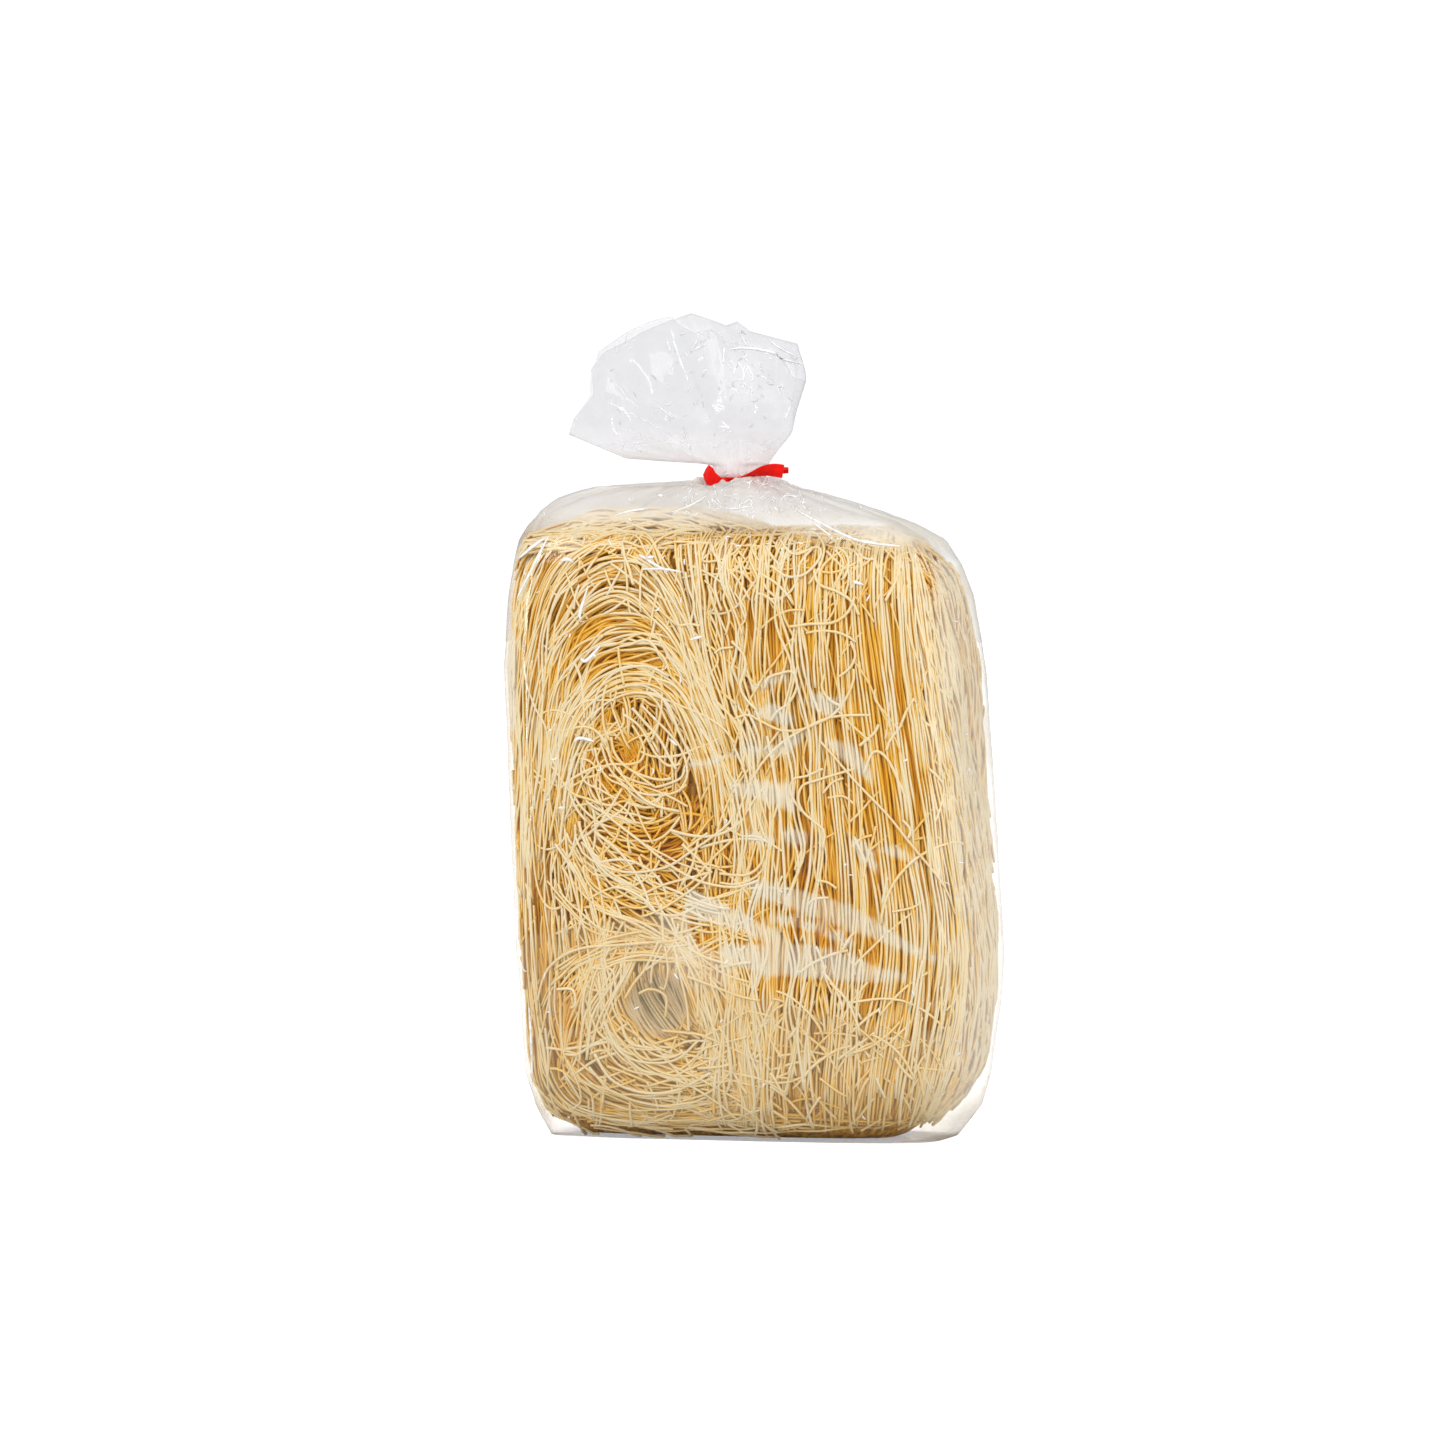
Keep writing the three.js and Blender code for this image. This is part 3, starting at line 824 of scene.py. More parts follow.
# Guide strands on the front, as (across, height). The skein is folded: its strands arch over the upper
# hollow, run down the left side, turn under the lower hollow and go up the right side.
ARCH = [
    [(-52, 96), (-51, 116), (-48, 132), (-41, 143), (-31, 146), (-20, 142), (-12, 132), (-6, 118), (-5, 102)],
    [(-57, 92), (-56, 116), (-52, 137), (-43, 151), (-30, 156), (-17, 152), (-8, 139), (-1, 121), (2, 98)],
    [(-64, 82), (-64, 112), (-60, 144), (-51, 166), (-37, 178), (-23, 174), (-12, 158), (-2, 136), (7, 100)],
    [(-71, 62), (-72, 100), (-72, 140), (-68, 176), (-56, 197), (-38, 201), (-21, 190), (-8, 164), (10, 112)],
]
TURN = [
    [(-48, 112), (-43, 92), (-38, 72), (-36, 56), (-33, 42), (-25, 33), (-14, 30), (-5, 32), (2, 38)],
    [(-55, 116), (-50, 92), (-46, 70), (-44, 50), (-39, 33), (-27, 23), (-12, 20), (0, 22), (9, 29)],
    [(-64, 126), (-62, 96), (-60, 68), (-57, 40), (-49, 20), (-34, 11), (-14, 9), (2, 11), (16, 18)],
    [(-72, 136), (-72, 100), (-71, 62), (-68, 32), (-60, 10), (-42, 5), (-20, 4), (4, 5), (24, 10)],
]
UPRIGHT = [
    [(-20, 214), (-14, 188), (-4, 150), (5, 112), (4, 78), (2, 45), (-2, 5)],
    [(18, 212), (19, 176), (20, 140), (21, 105), (21, 71), (21, 38), (20, 3)],
    [(46, 210), (50, 170), (55, 133), (60, 98), (63, 65), (58, 31), (52, 3)],
    [(68, 204), (73, 168), (79, 131), (84, 98), (88, 65), (86, 35), (76, 6)],
]
# Round the top left corner and over it.
CORNER = [
    [(-72, 120), (-71, 150), (-67, 180), (-56, 197), (-38, 204), (-16, 206), (4, 206)],
    [(-80, 120), (-80, 150), (-76, 180), (-62, 204), (-40, 216), (-14, 218), (10, 216)],
]
# Under the upper hollow.
BOWL = [
    [(-46, 122), (-44, 112), (-36, 104), (-25, 103), (-15, 108), (-10, 118)],
    [(-52, 116), (-49, 103), (-38, 94), (-24, 91), (-9, 97), (2, 112)],
    [(-58, 112), (-53, 94), (-40, 82), (-24, 79), (-6, 84), (10, 102)],
]
# Down to the right between the two hollows.
FALLING = [
    [(-46, 108), (-38, 99), (-26, 91), (-13, 86), (2, 83), (16, 88)],
    [(-56, 98), (-44, 86), (-32, 78), (-18, 71), (-4, 64), (8, 54)],
    [(-62, 88), (-52, 77), (-41, 70), (-28, 65), (-14, 60), (0, 54)],
]
# From the left side up over the lower hollow.
RISING = [
    [(-66, 46), (-58, 58), (-44, 65), (-30, 67), (-14, 68), (2, 74)],
    [(-60, 30), (-52, 46), (-40, 57), (-26, 61), (-10, 62), (8, 66)],
]
# Parted by the lower hollow, to its left, into it and to its right.
PARTED_LEFT = [
    [(-25, 73), (-29, 61), (-34, 50), (-40, 39), (-44, 26)],
    [(-40, 74), (-46, 61), (-52, 48), (-56, 36), (-58, 22)],
]
PARTED_RIGHT = [
    [(-18, 76), (-14, 63), (-10, 51), (-7, 40), (-10, 28)],
    [(3, 76), (5, 60), (8, 44), (7, 30), (0, 18)],
]
# Straight down past the lower hollow's right.
HOOKED = [
    [(-16, 80), (-11, 62), (-7, 44), (-4, 26), (-4, 6)],
    [(8, 82), (11, 62), (14, 42), (15, 24), (14, 5)],
]
# Between the folds and the uprights.
BETWEEN = [
    [(-16, 114), (-13, 98), (-11, 80), (-10, 60)],
    [(9, 114), (8, 98), (7, 80), (5, 60)],
]
# Behind the upper hollow: hanging in it, and bowed across it.
HANGING = [
    [(-50, 147), (-49, 133), (-46, 119), (-38, 106)],
    [(-31, 152), (-32, 135), (-29, 120), (-20, 108)],
    [(-12, 146), (-12, 130), (-14, 115), (-20, 102)],
]
CURLED = [
    [(-53, 96), (-52, 114), (-47, 130), (-38, 137), (-29, 133), (-25, 124), (-28, 115), (-36, 112)],
    [(-48, 98), (-47, 112), (-43, 124), (-37, 129), (-31, 126), (-30, 119), (-35, 116), (-40, 118)],
]
BOWED = [
    [(-46, 134), (-43, 123), (-36, 115), (-26, 113), (-15, 118)],
    [(-52, 124), (-47, 110), (-37, 101), (-24, 100), (-9, 110)],
]
INTO_HOLLOW = [
    [(-36, 58), (-36, 47), (-33, 38), (-26, 31), (-14, 27)],
    [(-30, 60), (-30, 50), (-27, 42), (-21, 35), (-12, 31)],
    [(-22, 62), (-22, 54), (-19, 46), (-14, 39), (-6, 34)],
    [(-13, 62), (-13, 53), (-11, 45), (-8, 39), (-3, 35)],
    [(-2, 64), (-5, 53), (-5, 43), (-3, 37), (2, 33)],
]
LEFT_SIDE = [
    [(-128, 200), (-127, 160), (-126, 120), (-127, 80), (-126, 40), (-122, 4)],
    [(-96, 200), (-99, 160), (-98, 120), (-98, 80), (-97, 40), (-92, 4)],
    [(-70, 198), (-72, 160), (-73, 120), (-73, 80), (-72, 40), (-66, 5)],
]
# Fanned out round the right corner.
FANNED = [
    [(60, 192), (65, 162), (73, 135), (85, 105), (98, 75), (106, 45), (106, 12)],
    [(76, 198), (86, 165), (100, 135), (116, 105), (126, 75), (129, 45), (124, 10)],
]
RIGHT_SIDE = [
    [(66, 206), (72, 168), (79, 131), (84, 98), (88, 65), (86, 35), (76, 5)],
    [(92, 206), (96, 168), (101, 131), (104, 98), (107, 65), (105, 35), (96, 4)],
    [(124, 204), (126, 165), (128, 131), (129, 98), (128, 65), (126, 35), (122, 4)],
]
BACK = [
    [(-126, 204), (-127, 150), (-128, 100), (-126, 50), (-122, 4)],
    [(-54, 212), (-50, 150), (-55, 100), (-48, 50), (-52, 3)],
    [(6, 212), (2, 150), (10, 100), (2, 50), (8, 3)],
    [(60, 212), (63, 150), (58, 100), (64, 50), (58, 3)],
    [(122, 204), (126, 150), (124, 100), (126, 50), (120, 4)],
]
OVER_TOP = [
    [(-62, 190), (-60, 202), (-58, 214), (-60, 226), (-57, 238)],
    [(0, 190), (3, 202), (-2, 214), (4, 226), (0, 238)],
    [(60, 190), (57, 202), (60, 214), (55, 226), (57, 238)],
]
FOOT = [
    [(-58, 3), (-30, 4), (0, 3), (30, 4), (62, 3)],
    [(-60, 12), (-30, 10), (0, 12), (30, 11), (68, 14)],
]

# Single strands that stand out, seen from the front right as the film's marks are: (across, up).
SINGLE_STRANDS = [
    [(-59.5, 157.5), (-57.5, 153), (-56.5, 146.5), (-56, 139)],
    [(-53.5, 138.5), (-52.5, 144), (-50.5, 149.5), (-46, 154), (-40, 156), (-34, 156), (-28, 153)],
    [
        (-53.5, 138.5), (-50.5, 142.5), (-46, 145.5), (-40, 147.5), (-34, 147), (-28, 145), (-22, 142.5),
        (-16, 140), (-10, 136), (-6, 131),
    ],
    [(-62, 132.5), (-59.5, 139), (-55.5, 144.5), (-50.5, 145), (-46, 145)],
    [
        (-50.5, 142.5), (-55, 138.5), (-58, 133), (-60, 127), (-61, 119.5), (-60.5, 113.5), (-58, 108.5),
        (-55, 105),
    ],
    [(-43, 142.5), (-43, 137), (-46.5, 134.5), (-52, 132.5), (-55.5, 128.5), (-56.5, 124), (-55, 120.5)],
    [
        (-40, 137), (-37.5, 133), (-36, 128.5), (-37.5, 125), (-41.5, 124), (-46, 124), (-49, 123.5),
        (-51.5, 120.5), (-55.5, 119.5),
    ],
    [(-43, 140.5), (-38, 137), (-35, 132.5), (-32.5, 128), (-29.5, 124.5), (-26.5, 123.5), (-24, 124.5)],
    [(-37, 143.5), (-32, 138.5), (-27.5, 134), (-24, 129.5), (-22, 124), (-22, 119.5), (-24.5, 115)],
    [(-40, 142.5), (-35.5, 137.5), (-31, 132.5), (-28, 127), (-25.5, 122.5)],
    [(-47, 133), (-46, 128), (-42.5, 123.5), (-37, 120.5), (-31, 119), (-27, 119.5)],
    [(-49, 132.5), (-47.5, 126.5), (-44, 121), (-39, 118.5), (-32.5, 117)],
    [(-50.5, 131), (-48, 123.5), (-44.5, 119), (-40, 115.5), (-34, 114), (-28, 114.5)],
    [(-52.5, 129.5), (-51, 123.5), (-47.5, 119), (-43, 117), (-39, 113.5), (-34, 110.5)],
    [(-42, 111.5), (-37, 110), (-32.5, 110)],
    [(-55.5, 128), (-57, 122.5), (-55.5, 118), (-50.5, 115.5), (-45, 112.5)],
    [(-52, 119.5), (-49, 116), (-46, 112), (-41.5, 108.5), (-38.5, 104.5)],
    [(-32.5, 116.5), (-28.5, 117.5), (-24, 119.5), (-22.5, 122.5)],
    [(-31, 113.5), (-25.5, 115), (-22, 117.5)],
    [(-19.5, 153), (-15.5, 150), (-13, 145.5), (-8.5, 141), (-5, 135.5), (-3, 129), (-4, 122.5)],
    [
        (-4.5, 198), (-2.5, 193), (-4.5, 187), (-7, 181), (-4, 176.5), (-3, 172), (-5.5, 168),
        (-4.5, 162), (-2.5, 156), (-4.5, 150), (-2.5, 145.5), (0, 142.5),
    ],
    [(-23.5, 187), (-22, 181.5), (-20, 176.5), (-21, 170.5), (-20, 168)],
    [(-20.5, 168), (-16, 163.5), (-13, 161.5), (-12, 157.5), (-15, 153), (-16, 148.5)],
    [(-7, 162.5), (-11, 162), (-13, 160.5)],
    [(-16, 157.5), (-15, 152.5), (-14, 146.5), (-12, 142.5), (-9.5, 139)],
    [(-68, 181), (-65.5, 179.5), (-62.5, 181.5), (-59, 184.5)],
    [(-58.5, 183), (-59.5, 179.5), (-60, 175)],
    [(-42, 178.5), (-41.5, 175.5), (-41, 173.5)],
    [(-68.5, 161.5), (-65.5, 165), (-61, 168), (-58, 170.5)],
    [(-49.5, 173.5), (-46, 175.5), (-42, 178.5)],
    [(-9.5, 198), (-10, 190.5), (-9, 184.5), (-10.5, 178.5), (-8.5, 172.5), (-9.5, 166.5)],
    [(-14, 193.5), (-12, 187), (-10, 181), (-6.5, 173.5), (-4, 166.5)],
    [(1, 184.5), (-1, 178.5), (0, 171), (2, 165)],
    [(-67.5, 133), (-68.5, 138.5), (-68, 144), (-65.5, 150), (-61, 154)],
    [(-78, 156), (-76.5, 149.5), (-73.5, 142.5), (-69.5, 136), (-68, 128), (-65.5, 122.5)],
    [(-25, 169.5), (-21, 170), (-18, 169.5)],
    [(-75, 100.5), (-74, 89), (-72, 81), (-68.5, 76.5), (-64.5, 76.5), (-62, 79.5), (-61, 84.5)],
    [
        (-59, 100.5), (-56, 94.5), (-49.5, 90.5), (-41.5, 88.5), (-34, 89), (-27, 91), (-20.5, 95.5),
        (-14, 100), (-8.5, 104.5), (-6, 109), (-7, 112.5),
    ],
    [(-51, 109.5), (-45.5, 105), (-37.5, 99), (-30, 93), (-24, 89), (-16.5, 85.5), (-6, 84), (2, 86.5)],
    [(-39.5, 79.5), (-34, 82.5), (-28, 85), (-20.5, 87), (-13.5, 89)],
    [(-35.5, 79), (-32, 75.5), (-26, 74.5), (-20.5, 76.5), (-16.5, 79.5)],
    [(-24.5, 77), (-16.5, 79.5), (-8, 81.5), (-2, 84.5)],
    [(-31, 66), (-35.5, 57), (-39.5, 52), (-42.5, 47)],
    [(-30, 65), (-33, 58.5), (-34, 52)],
    [(-29, 64.5), (-28, 56.5), (-29.5, 50.5), (-31, 51)],
    [(-26, 64), (-24, 55), (-22, 45), (-21.5, 36.5)],
    [(-25.5, 66), (-21.5, 58.5), (-18.5, 51), (-18.5, 41)],
    [
        (-49.5, 56.5), (-54, 56.5), (-55.5, 53), (-54, 50), (-49.5, 49.5), (-46.5, 51.5), (-46, 55.5),
        (-49, 57.5),
    ],
    [(-64.5, 50.5), (-59, 56.5), (-51, 60.5), (-44.5, 64), (-37, 65.5), (-29.5, 65.5)],
    [(-73.5, 45), (-70, 54.5), (-63.5, 60.5), (-55.5, 63.5), (-44.5, 64.5), (-34, 65.5)],
    [(-38, 48.5), (-35, 50), (-31.5, 49.5), (-29, 47), (-29.5, 41)],
    [(-49.5, 39), (-44.5, 29.5), (-36.5, 26), (-26, 27), (-18.5, 33.5)],
    [(-51, 33.5), (-45, 25), (-35.5, 22), (-24.5, 24), (-16, 31.5)],
    [(-53, 28.5), (-47.5, 20), (-37.5, 16), (-26, 17), (-14.5, 23)],
    [(-55, 24), (-47.5, 16), (-37.5, 12.5), (-26, 11.5), (-16.5, 15)],
    [(-30.5, 36.5), (-22.5, 36), (-16.5, 35), (-6, 30.5), (2, 26.5)],
    [(-17, 34.5), (-9, 39), (-3, 43)],
    [(-21.5, 54.5), (-14.5, 52), (-5, 48.5), (2, 47)],
    [(-14.5, 54.5), (-8.5, 47), (-5, 42)],
    [(-63.5, 90), (-60, 95.5), (-58.5, 101)],
    [(-66, 97.5), (-62.5, 93), (-59, 88)],
    [(-63.5, 90), (-61, 85.5), (-60, 78.5)],
    [(-80, 100), (-77.5, 102.5), (-76, 105.5)],
    [(-65.5, 49.5), (-60, 49.5), (-59, 45), (-60.5, 43.5)],
    [(-63, 28), (-59, 28), (-54, 31), (-48.5, 32.5)],
    [(-62.5, 26), (-59, 18), (-59, 12.5), (-62.5, 9.5)],
    [(-30, 27.5), (-26, 24.5), (-18.5, 21), (-11, 17), (-5, 13.5)],
    [(-24.5, 13.5), (-16.5, 16), (-11, 20), (-6, 26)],
    [(-13.5, 31.5), (-9, 26), (-3, 16)],
    [(-24.5, 29.5), (-18.5, 28), (-11, 27.5)],
    [(-70.5, 36.5), (-69.5, 26), (-70.5, 16), (-68.5, 7.5)],
    [(-27, 21), (-20.5, 18), (-13.5, 13.5), (-7, 7.5)],
    [(-49.5, 77.5), (-49, 75), (-49, 72)],
    [(-46, 80), (-44.5, 76.5), (-43, 73)],
    [(-21.5, 64), (-14.5, 60.5), (-6, 58.5)],
    [(-35.5, 56.5), (-30, 60.5), (-26, 66), (-24.5, 72)],
    [(-63.5, 96), (-59, 89), (-54, 79.5), (-52, 73), (-47.5, 64)],
    [(-7.5, 164.5), (-3.5, 160), (-3, 155.5), (-4.5, 150), (-2.5, 145.5), (1, 142)],
    [
        (3.5, 149), (4.5, 152.5), (8.5, 154), (12.5, 154.5), (14, 150), (11.5, 144.5), (7.5, 141.5),
        (5.5, 138.5),
    ],
    [
        (-6.5, 139), (-2, 140.5), (3, 138), (8.5, 135.5), (14.5, 135.5), (20, 137.5), (25.5, 140.5),
        (29.5, 145.5), (32, 151.5), (32, 155.5),
    ],
    [(23, 154), (22, 149.5), (24.5, 145.5), (28, 143.5)],
    [(39, 149), (39, 145.5), (43, 140), (46.5, 135.5)],
    [(51, 146), (48.5, 141.5), (46.5, 136.5), (43.5, 132), (42.5, 129)],
    [(40, 137.5), (38.5, 134.5), (34, 130.5)],
    [(52.5, 142.5), (54, 139), (56, 137)],
    [
        (21.5, 132), (26, 127), (31, 121), (37, 114.5), (43.5, 107.5), (49.5, 99.5), (55.5, 92),
        (62, 83.5), (65.5, 75.5),
    ],
    [(56, 123), (61, 118), (60.5, 112), (58, 105.5)],
    [
        (32.5, 123), (26, 121), (20, 119), (16, 117.5), (14.5, 113.5), (16, 109), (20, 105.5),
        (23, 102.5), (22.5, 96.5),
    ],
    [(22.5, 123), (17, 120.5), (13, 119.5), (12, 115), (15.5, 109)],
    [(-11, 143), (-8, 140.5), (-4.5, 136), (-3, 129.5), (-1, 121), (1.5, 115), (2.5, 109), (1.5, 103)],
    [(4.5, 96.5), (3.5, 91), (0, 87), (-6, 85), (-11, 85.5)],
    [(2.5, 101), (3.5, 95), (1.5, 90.5), (-3, 88), (-11, 88.5)],
    [(9.5, 88), (8, 84), (9.5, 82.5)],
    [(20.5, 86.5), (24, 86), (27, 84)],
    [(17.5, 78.5), (20, 80.5), (24.5, 81)],
    [(44.5, 76.5), (51, 78), (54.5, 80.5)],
    [(22.5, 115), (25.5, 118.5), (29, 120)],
    [(24, 113.5), (29, 114), (32.5, 111.5)],
    [(47.5, 106.5), (50, 103.5), (49.5, 100.5)],
    [(32.5, 101), (34, 97.5), (36, 92.5), (35.5, 87.5)],
    [(27.5, 153), (31, 156), (32.5, 160), (31, 164.5)],
    [(-8.5, 103.5), (-4, 101), (1.5, 100.5), (7, 97.5), (9.5, 96)],
    [(35.5, 121.5), (38.5, 128.5), (43, 126), (48, 115), (50, 110.5)],
    [(78, 99.5), (75, 90.5), (80.5, 81)],
    [(71, 113), (75, 104.5), (78.5, 95)],
    [(5, 198), (11.5, 192.5), (18, 195), (20, 192), (16, 186.5), (10, 185.5), (4.5, 189)],
    [(-6.5, 192), (-4.5, 184.5), (-5, 177.5), (-3, 171.5)],
    [(18.5, 187.5), (20.5, 183), (26.5, 180.5), (31, 177.5), (33.5, 173)],
    [(11.5, 199.5), (16, 199.5), (20.5, 195), (20, 188.5), (17, 183)],
    [(-1.5, 198), (-3, 192), (0.5, 184.5), (0, 177.5)],
    [(41.5, 197), (45.5, 192), (44.5, 184.5), (41.5, 177.5)],
    [(38, 198), (37.5, 190.5), (40.5, 183), (38, 174.5)],
    [(-12, 198), (-11, 190.5), (-13.5, 183), (-11, 174.5)],
    [(24, 195), (30.5, 193.5), (33.5, 187.5), (30.5, 181.5)],
]


def noodles(name, made, bundles, *nodes):
    """Strands as a piece of the object."""
    return piece(name, tube_mesh(name, bundles, ("tone", "ash")), made, "noodle", *nodes)


def front_strands(made):
    """The skein's strands on the front, from the deepest out to the surface."""
    rng = np.random.default_rng(3)
    deep = []
    for depth in (-3.4, -2.5):
        deep += [
            locks(front, rng, UPRIGHT, 76, 1, depth, 0.8, 0.015, 0.03, 4.2, even=0.5),
            locks(front, rng, ARCH, 44, 1, depth, 0.8, 0.02, 0.05, 3.4, even=0.5),
            locks(front, rng, TURN, 26, 1, depth, 0.8, 0.02, 0.05, 3.4, even=0.5),
            locks(front, rng, CORNER, 14, 1, depth, 0.8, 0.02, 0.1, 3.4, even=0.5),
            locks(front, rng, HANGING, 30, 1, depth, 1.5, 0.1, 0.1, 3, even=0.7),
            locks(front, rng, FALLING, 32, 1, depth, 1.5, 0.1, 0.1, 3.4, even=0.7),
            locks(front, rng, INTO_HOLLOW, 20, 1, depth, 0.8, 0.05, 0.1, 2.4, even=0.7),
            locks(front, rng, BETWEEN, 20, 1, depth, 0.8, 0.02, 0.1, 4.2, even=0.5),
            locks(front, rng, BOWL, 26, 1, depth, 1.5, 0.1, 0.1, 3.4, even=0.6),
        ]
    noodles("front_strands_deep", made, deep, "vermicelli_block")
    uprights, folds, hollows = [], [], []
    for depth, kept in ((-1.9, 1.0), (-1.2, 0.9), (-0.5, 0.75), (0.2, 0.55)):
        stems, arches, turns, corners = [round(count * kept) for count in (24, 15, 7, 5)]
        uprights.append(
            locks(front, rng, UPRIGHT, stems, 4, depth, 1.3, 0.02, 0.1, 3.4, (0.2, 1.6), 0.7, 0.7)
        )
        folds += [
            locks(front, rng, ARCH, arches, 4, depth, 1.2, 0.04, 0.14, 2.8, (0.1, 0.8), 0.5),
            locks(front, rng, TURN, turns, 4, depth, 1.3, 0.05, 0.3, 2.8, (0.1, 0.8)),
            locks(front, rng, CORNER, corners, 4, depth, 1.2, 0.05, 0.3, 2.8),
        ]
    for depth in (-1.5, -0.9, -0.3):
        hollows += [
            locks(front, rng, HANGING, 10, 2, depth, 1.6, 0.12, 0.25, 2.2, (0.5, 1.5), 0.6),
            locks(front, rng, CURLED, 5, 2, depth, 1.2, 0.12, 0.3, 2.2, (0.5, 1.5), 0.6),
        ]
    for depth in (-1.2, -0.2):
        hollows.append(locks(front, rng, BOWED, 7, 2, depth, 1.6, 0.15, 0.35, 2, (0.5, 1.5), 0.6))
    for depth in (-0.8, 0.0):
        hollows += [
            locks(front, rng, BOWL, 3, 2, depth, 3, 0.2, 0.45, kink=(0.6, 2)),
            locks(front, rng, HOOKED, 7, 3, depth, 1.4, 0.1, 0.3),
            locks(front, rng, FALLING, 6, 3, depth, 1.4, 0.08, 0.3),
            locks(front, rng, BETWEEN, 4, 3, depth - 0.5, 1.4, 0.08, 0.3),
            locks(front, rng, RISING, 3, 3, depth, 1.4, 0.08, 0.3),
            locks(front, rng, PARTED_LEFT, 5, 3, depth, 1.0, 0.06, 0.2),
            locks(front, rng, PARTED_RIGHT, 6, 2, depth, 1.0, 0.06, 0.25, even=0.5),
        ]
    for depth in (-1.8, -1.0, -0.3):
        hollows.append(locks(front, rng, INTO_HOLLOW, 14, 2, depth, 0.6, 0.03, 0.25, even=0.5))
    noodles("front_strands_upright", made, uprights)
    noodles("front_strands_folded", made, folds)
    noodles("front_strands_hollow", made, hollows)


def side_strands(made):
    rng = np.random.default_rng(5)
    bundles = []
    for depth, kept in ((-2.6, 1.0), (-1.2, 0.8), (0.0, 0.6)):
        bundles.append(locks(front, rng, LEFT_SIDE, round(24 * kept), 2, depth, trim=0.08, spacing=3.4))
    # Seen along the side, only strands that stand apart show singly.
    for depth, count in ((-3.2, 64), (-2.2, 52), (-0.9, 26)):
        bundles.append(locks(front, rng, RIGHT_SIDE, count, 1, depth, 1.6, 0.04, 0.15, 4.2, even=0.6))
    for depth, count in ((-0.3, 16), (0.5, 14)):
        bundles.append(locks(front, rng, FANNED, count, 1, depth, 1.6, 0.08, 0.2, 4.2))
    noodles("side_strands", made, bundles)


def back_strands(made):
    rng = np.random.default_rng(7)
    bundles = []
    for depth, count in ((-2.8, 72), (-1.4, 54), (-0.2, 42)):
        bundles.append(locks(back, rng, BACK, count, 2, depth, 1.6, trim=0.08, spacing=5.4, kink=(0.2, 1.6)))
    noodles("back_strands", made, bundles)


def end_strands(made):
    """The strands over the top, under the left shoulder and along the foot."""
    rng = np.random.default_rng(9)
    bundles = []
    for face in (front, back):
        for depth in (-2.2, -0.9, 0.0):
            bundles.append(locks(face, rng, OVER_TOP, 26, 2, depth, 2.0, 0.03, 0.25, 3, (0.5, 2)))
    for margin, count, reach in ((2.2, 48, 58), (3.0, 48, 58), (3.9, 48, 58), (4.9, 36, 26)):
        bundles.append(shoulder_strands(rng, count, margin, reach))
    for depth in (-1.8, -0.6):
        for face in (front, back):
            bundles.append(locks(face, rng, FOOT, 5, 2, depth, 1.4, 0.15, 0.4, spacing=3))
    noodles("end_strands", made, bundles)


def film_height(x, y):
    """How high the bag's film stands over a place on its shoulders."""
    levels = np.arange(190, 217.5, 0.25)
    height = np.full(x.shape, levels[0])
    for level in levels:
        left, right, half_depth, squareness = read(BAG_OUTLINE, level)
        across = np.abs((x - (left + right) / 2) / ((right - left) / 2)) ** squareness
        height = np.where(across + np.abs(y / half_depth) ** squareness <= 1, level, height)
    return height


def shoulder_strands(rng, count, margin, reach):
    """Strands that run on over the top left corner, close under the film's shoulder, and lie side by
    side over a reach from the front."""
    shape = (count, 1)
    x = lerp(rng.uniform(-76, -52, shape), rng.uniform(-26, 14, shape), np.linspace(0, 1, 30)[None])
    way = x - x[:, :1]
    y = (reach * np.linspace(0, 1, count) ** 1.5 - 30)[:, None] + waves(rng, way, 1.8, (30, 60))
    crown = BLOCK_EDGE + MOUND_HEIGHT * mound(x)
    # It rises back from the block's rounded front edge.
    crown = crown - (crown - 196) * smoothstep(-y, 14, 31)
    height = np.minimum(film_height(x, y) - margin, crown + 1 - margin / 2)
    height = height + waves(rng, way, 0.6, (18, 36))
    slope = np.gradient(height, axis=1) / np.gradient(x, axis=1)
    # They face forwards too, so that their upper sides, painted pale against their painted-shade undersides,
    # are seen.
    normals = unit(np.stack([-slope, -1.6 * np.ones_like(x), np.ones_like(x)], axis=-1))
    # The deeper under the film, the more golden they are painted, as painted shade.
    tone = 0.05 * margin - 0.1 + rng.normal(0, 0.08, shape) + 0 * x
    return np.stack([x, y, height], axis=-1), normals, STRAND / 2, tone, 0 * x


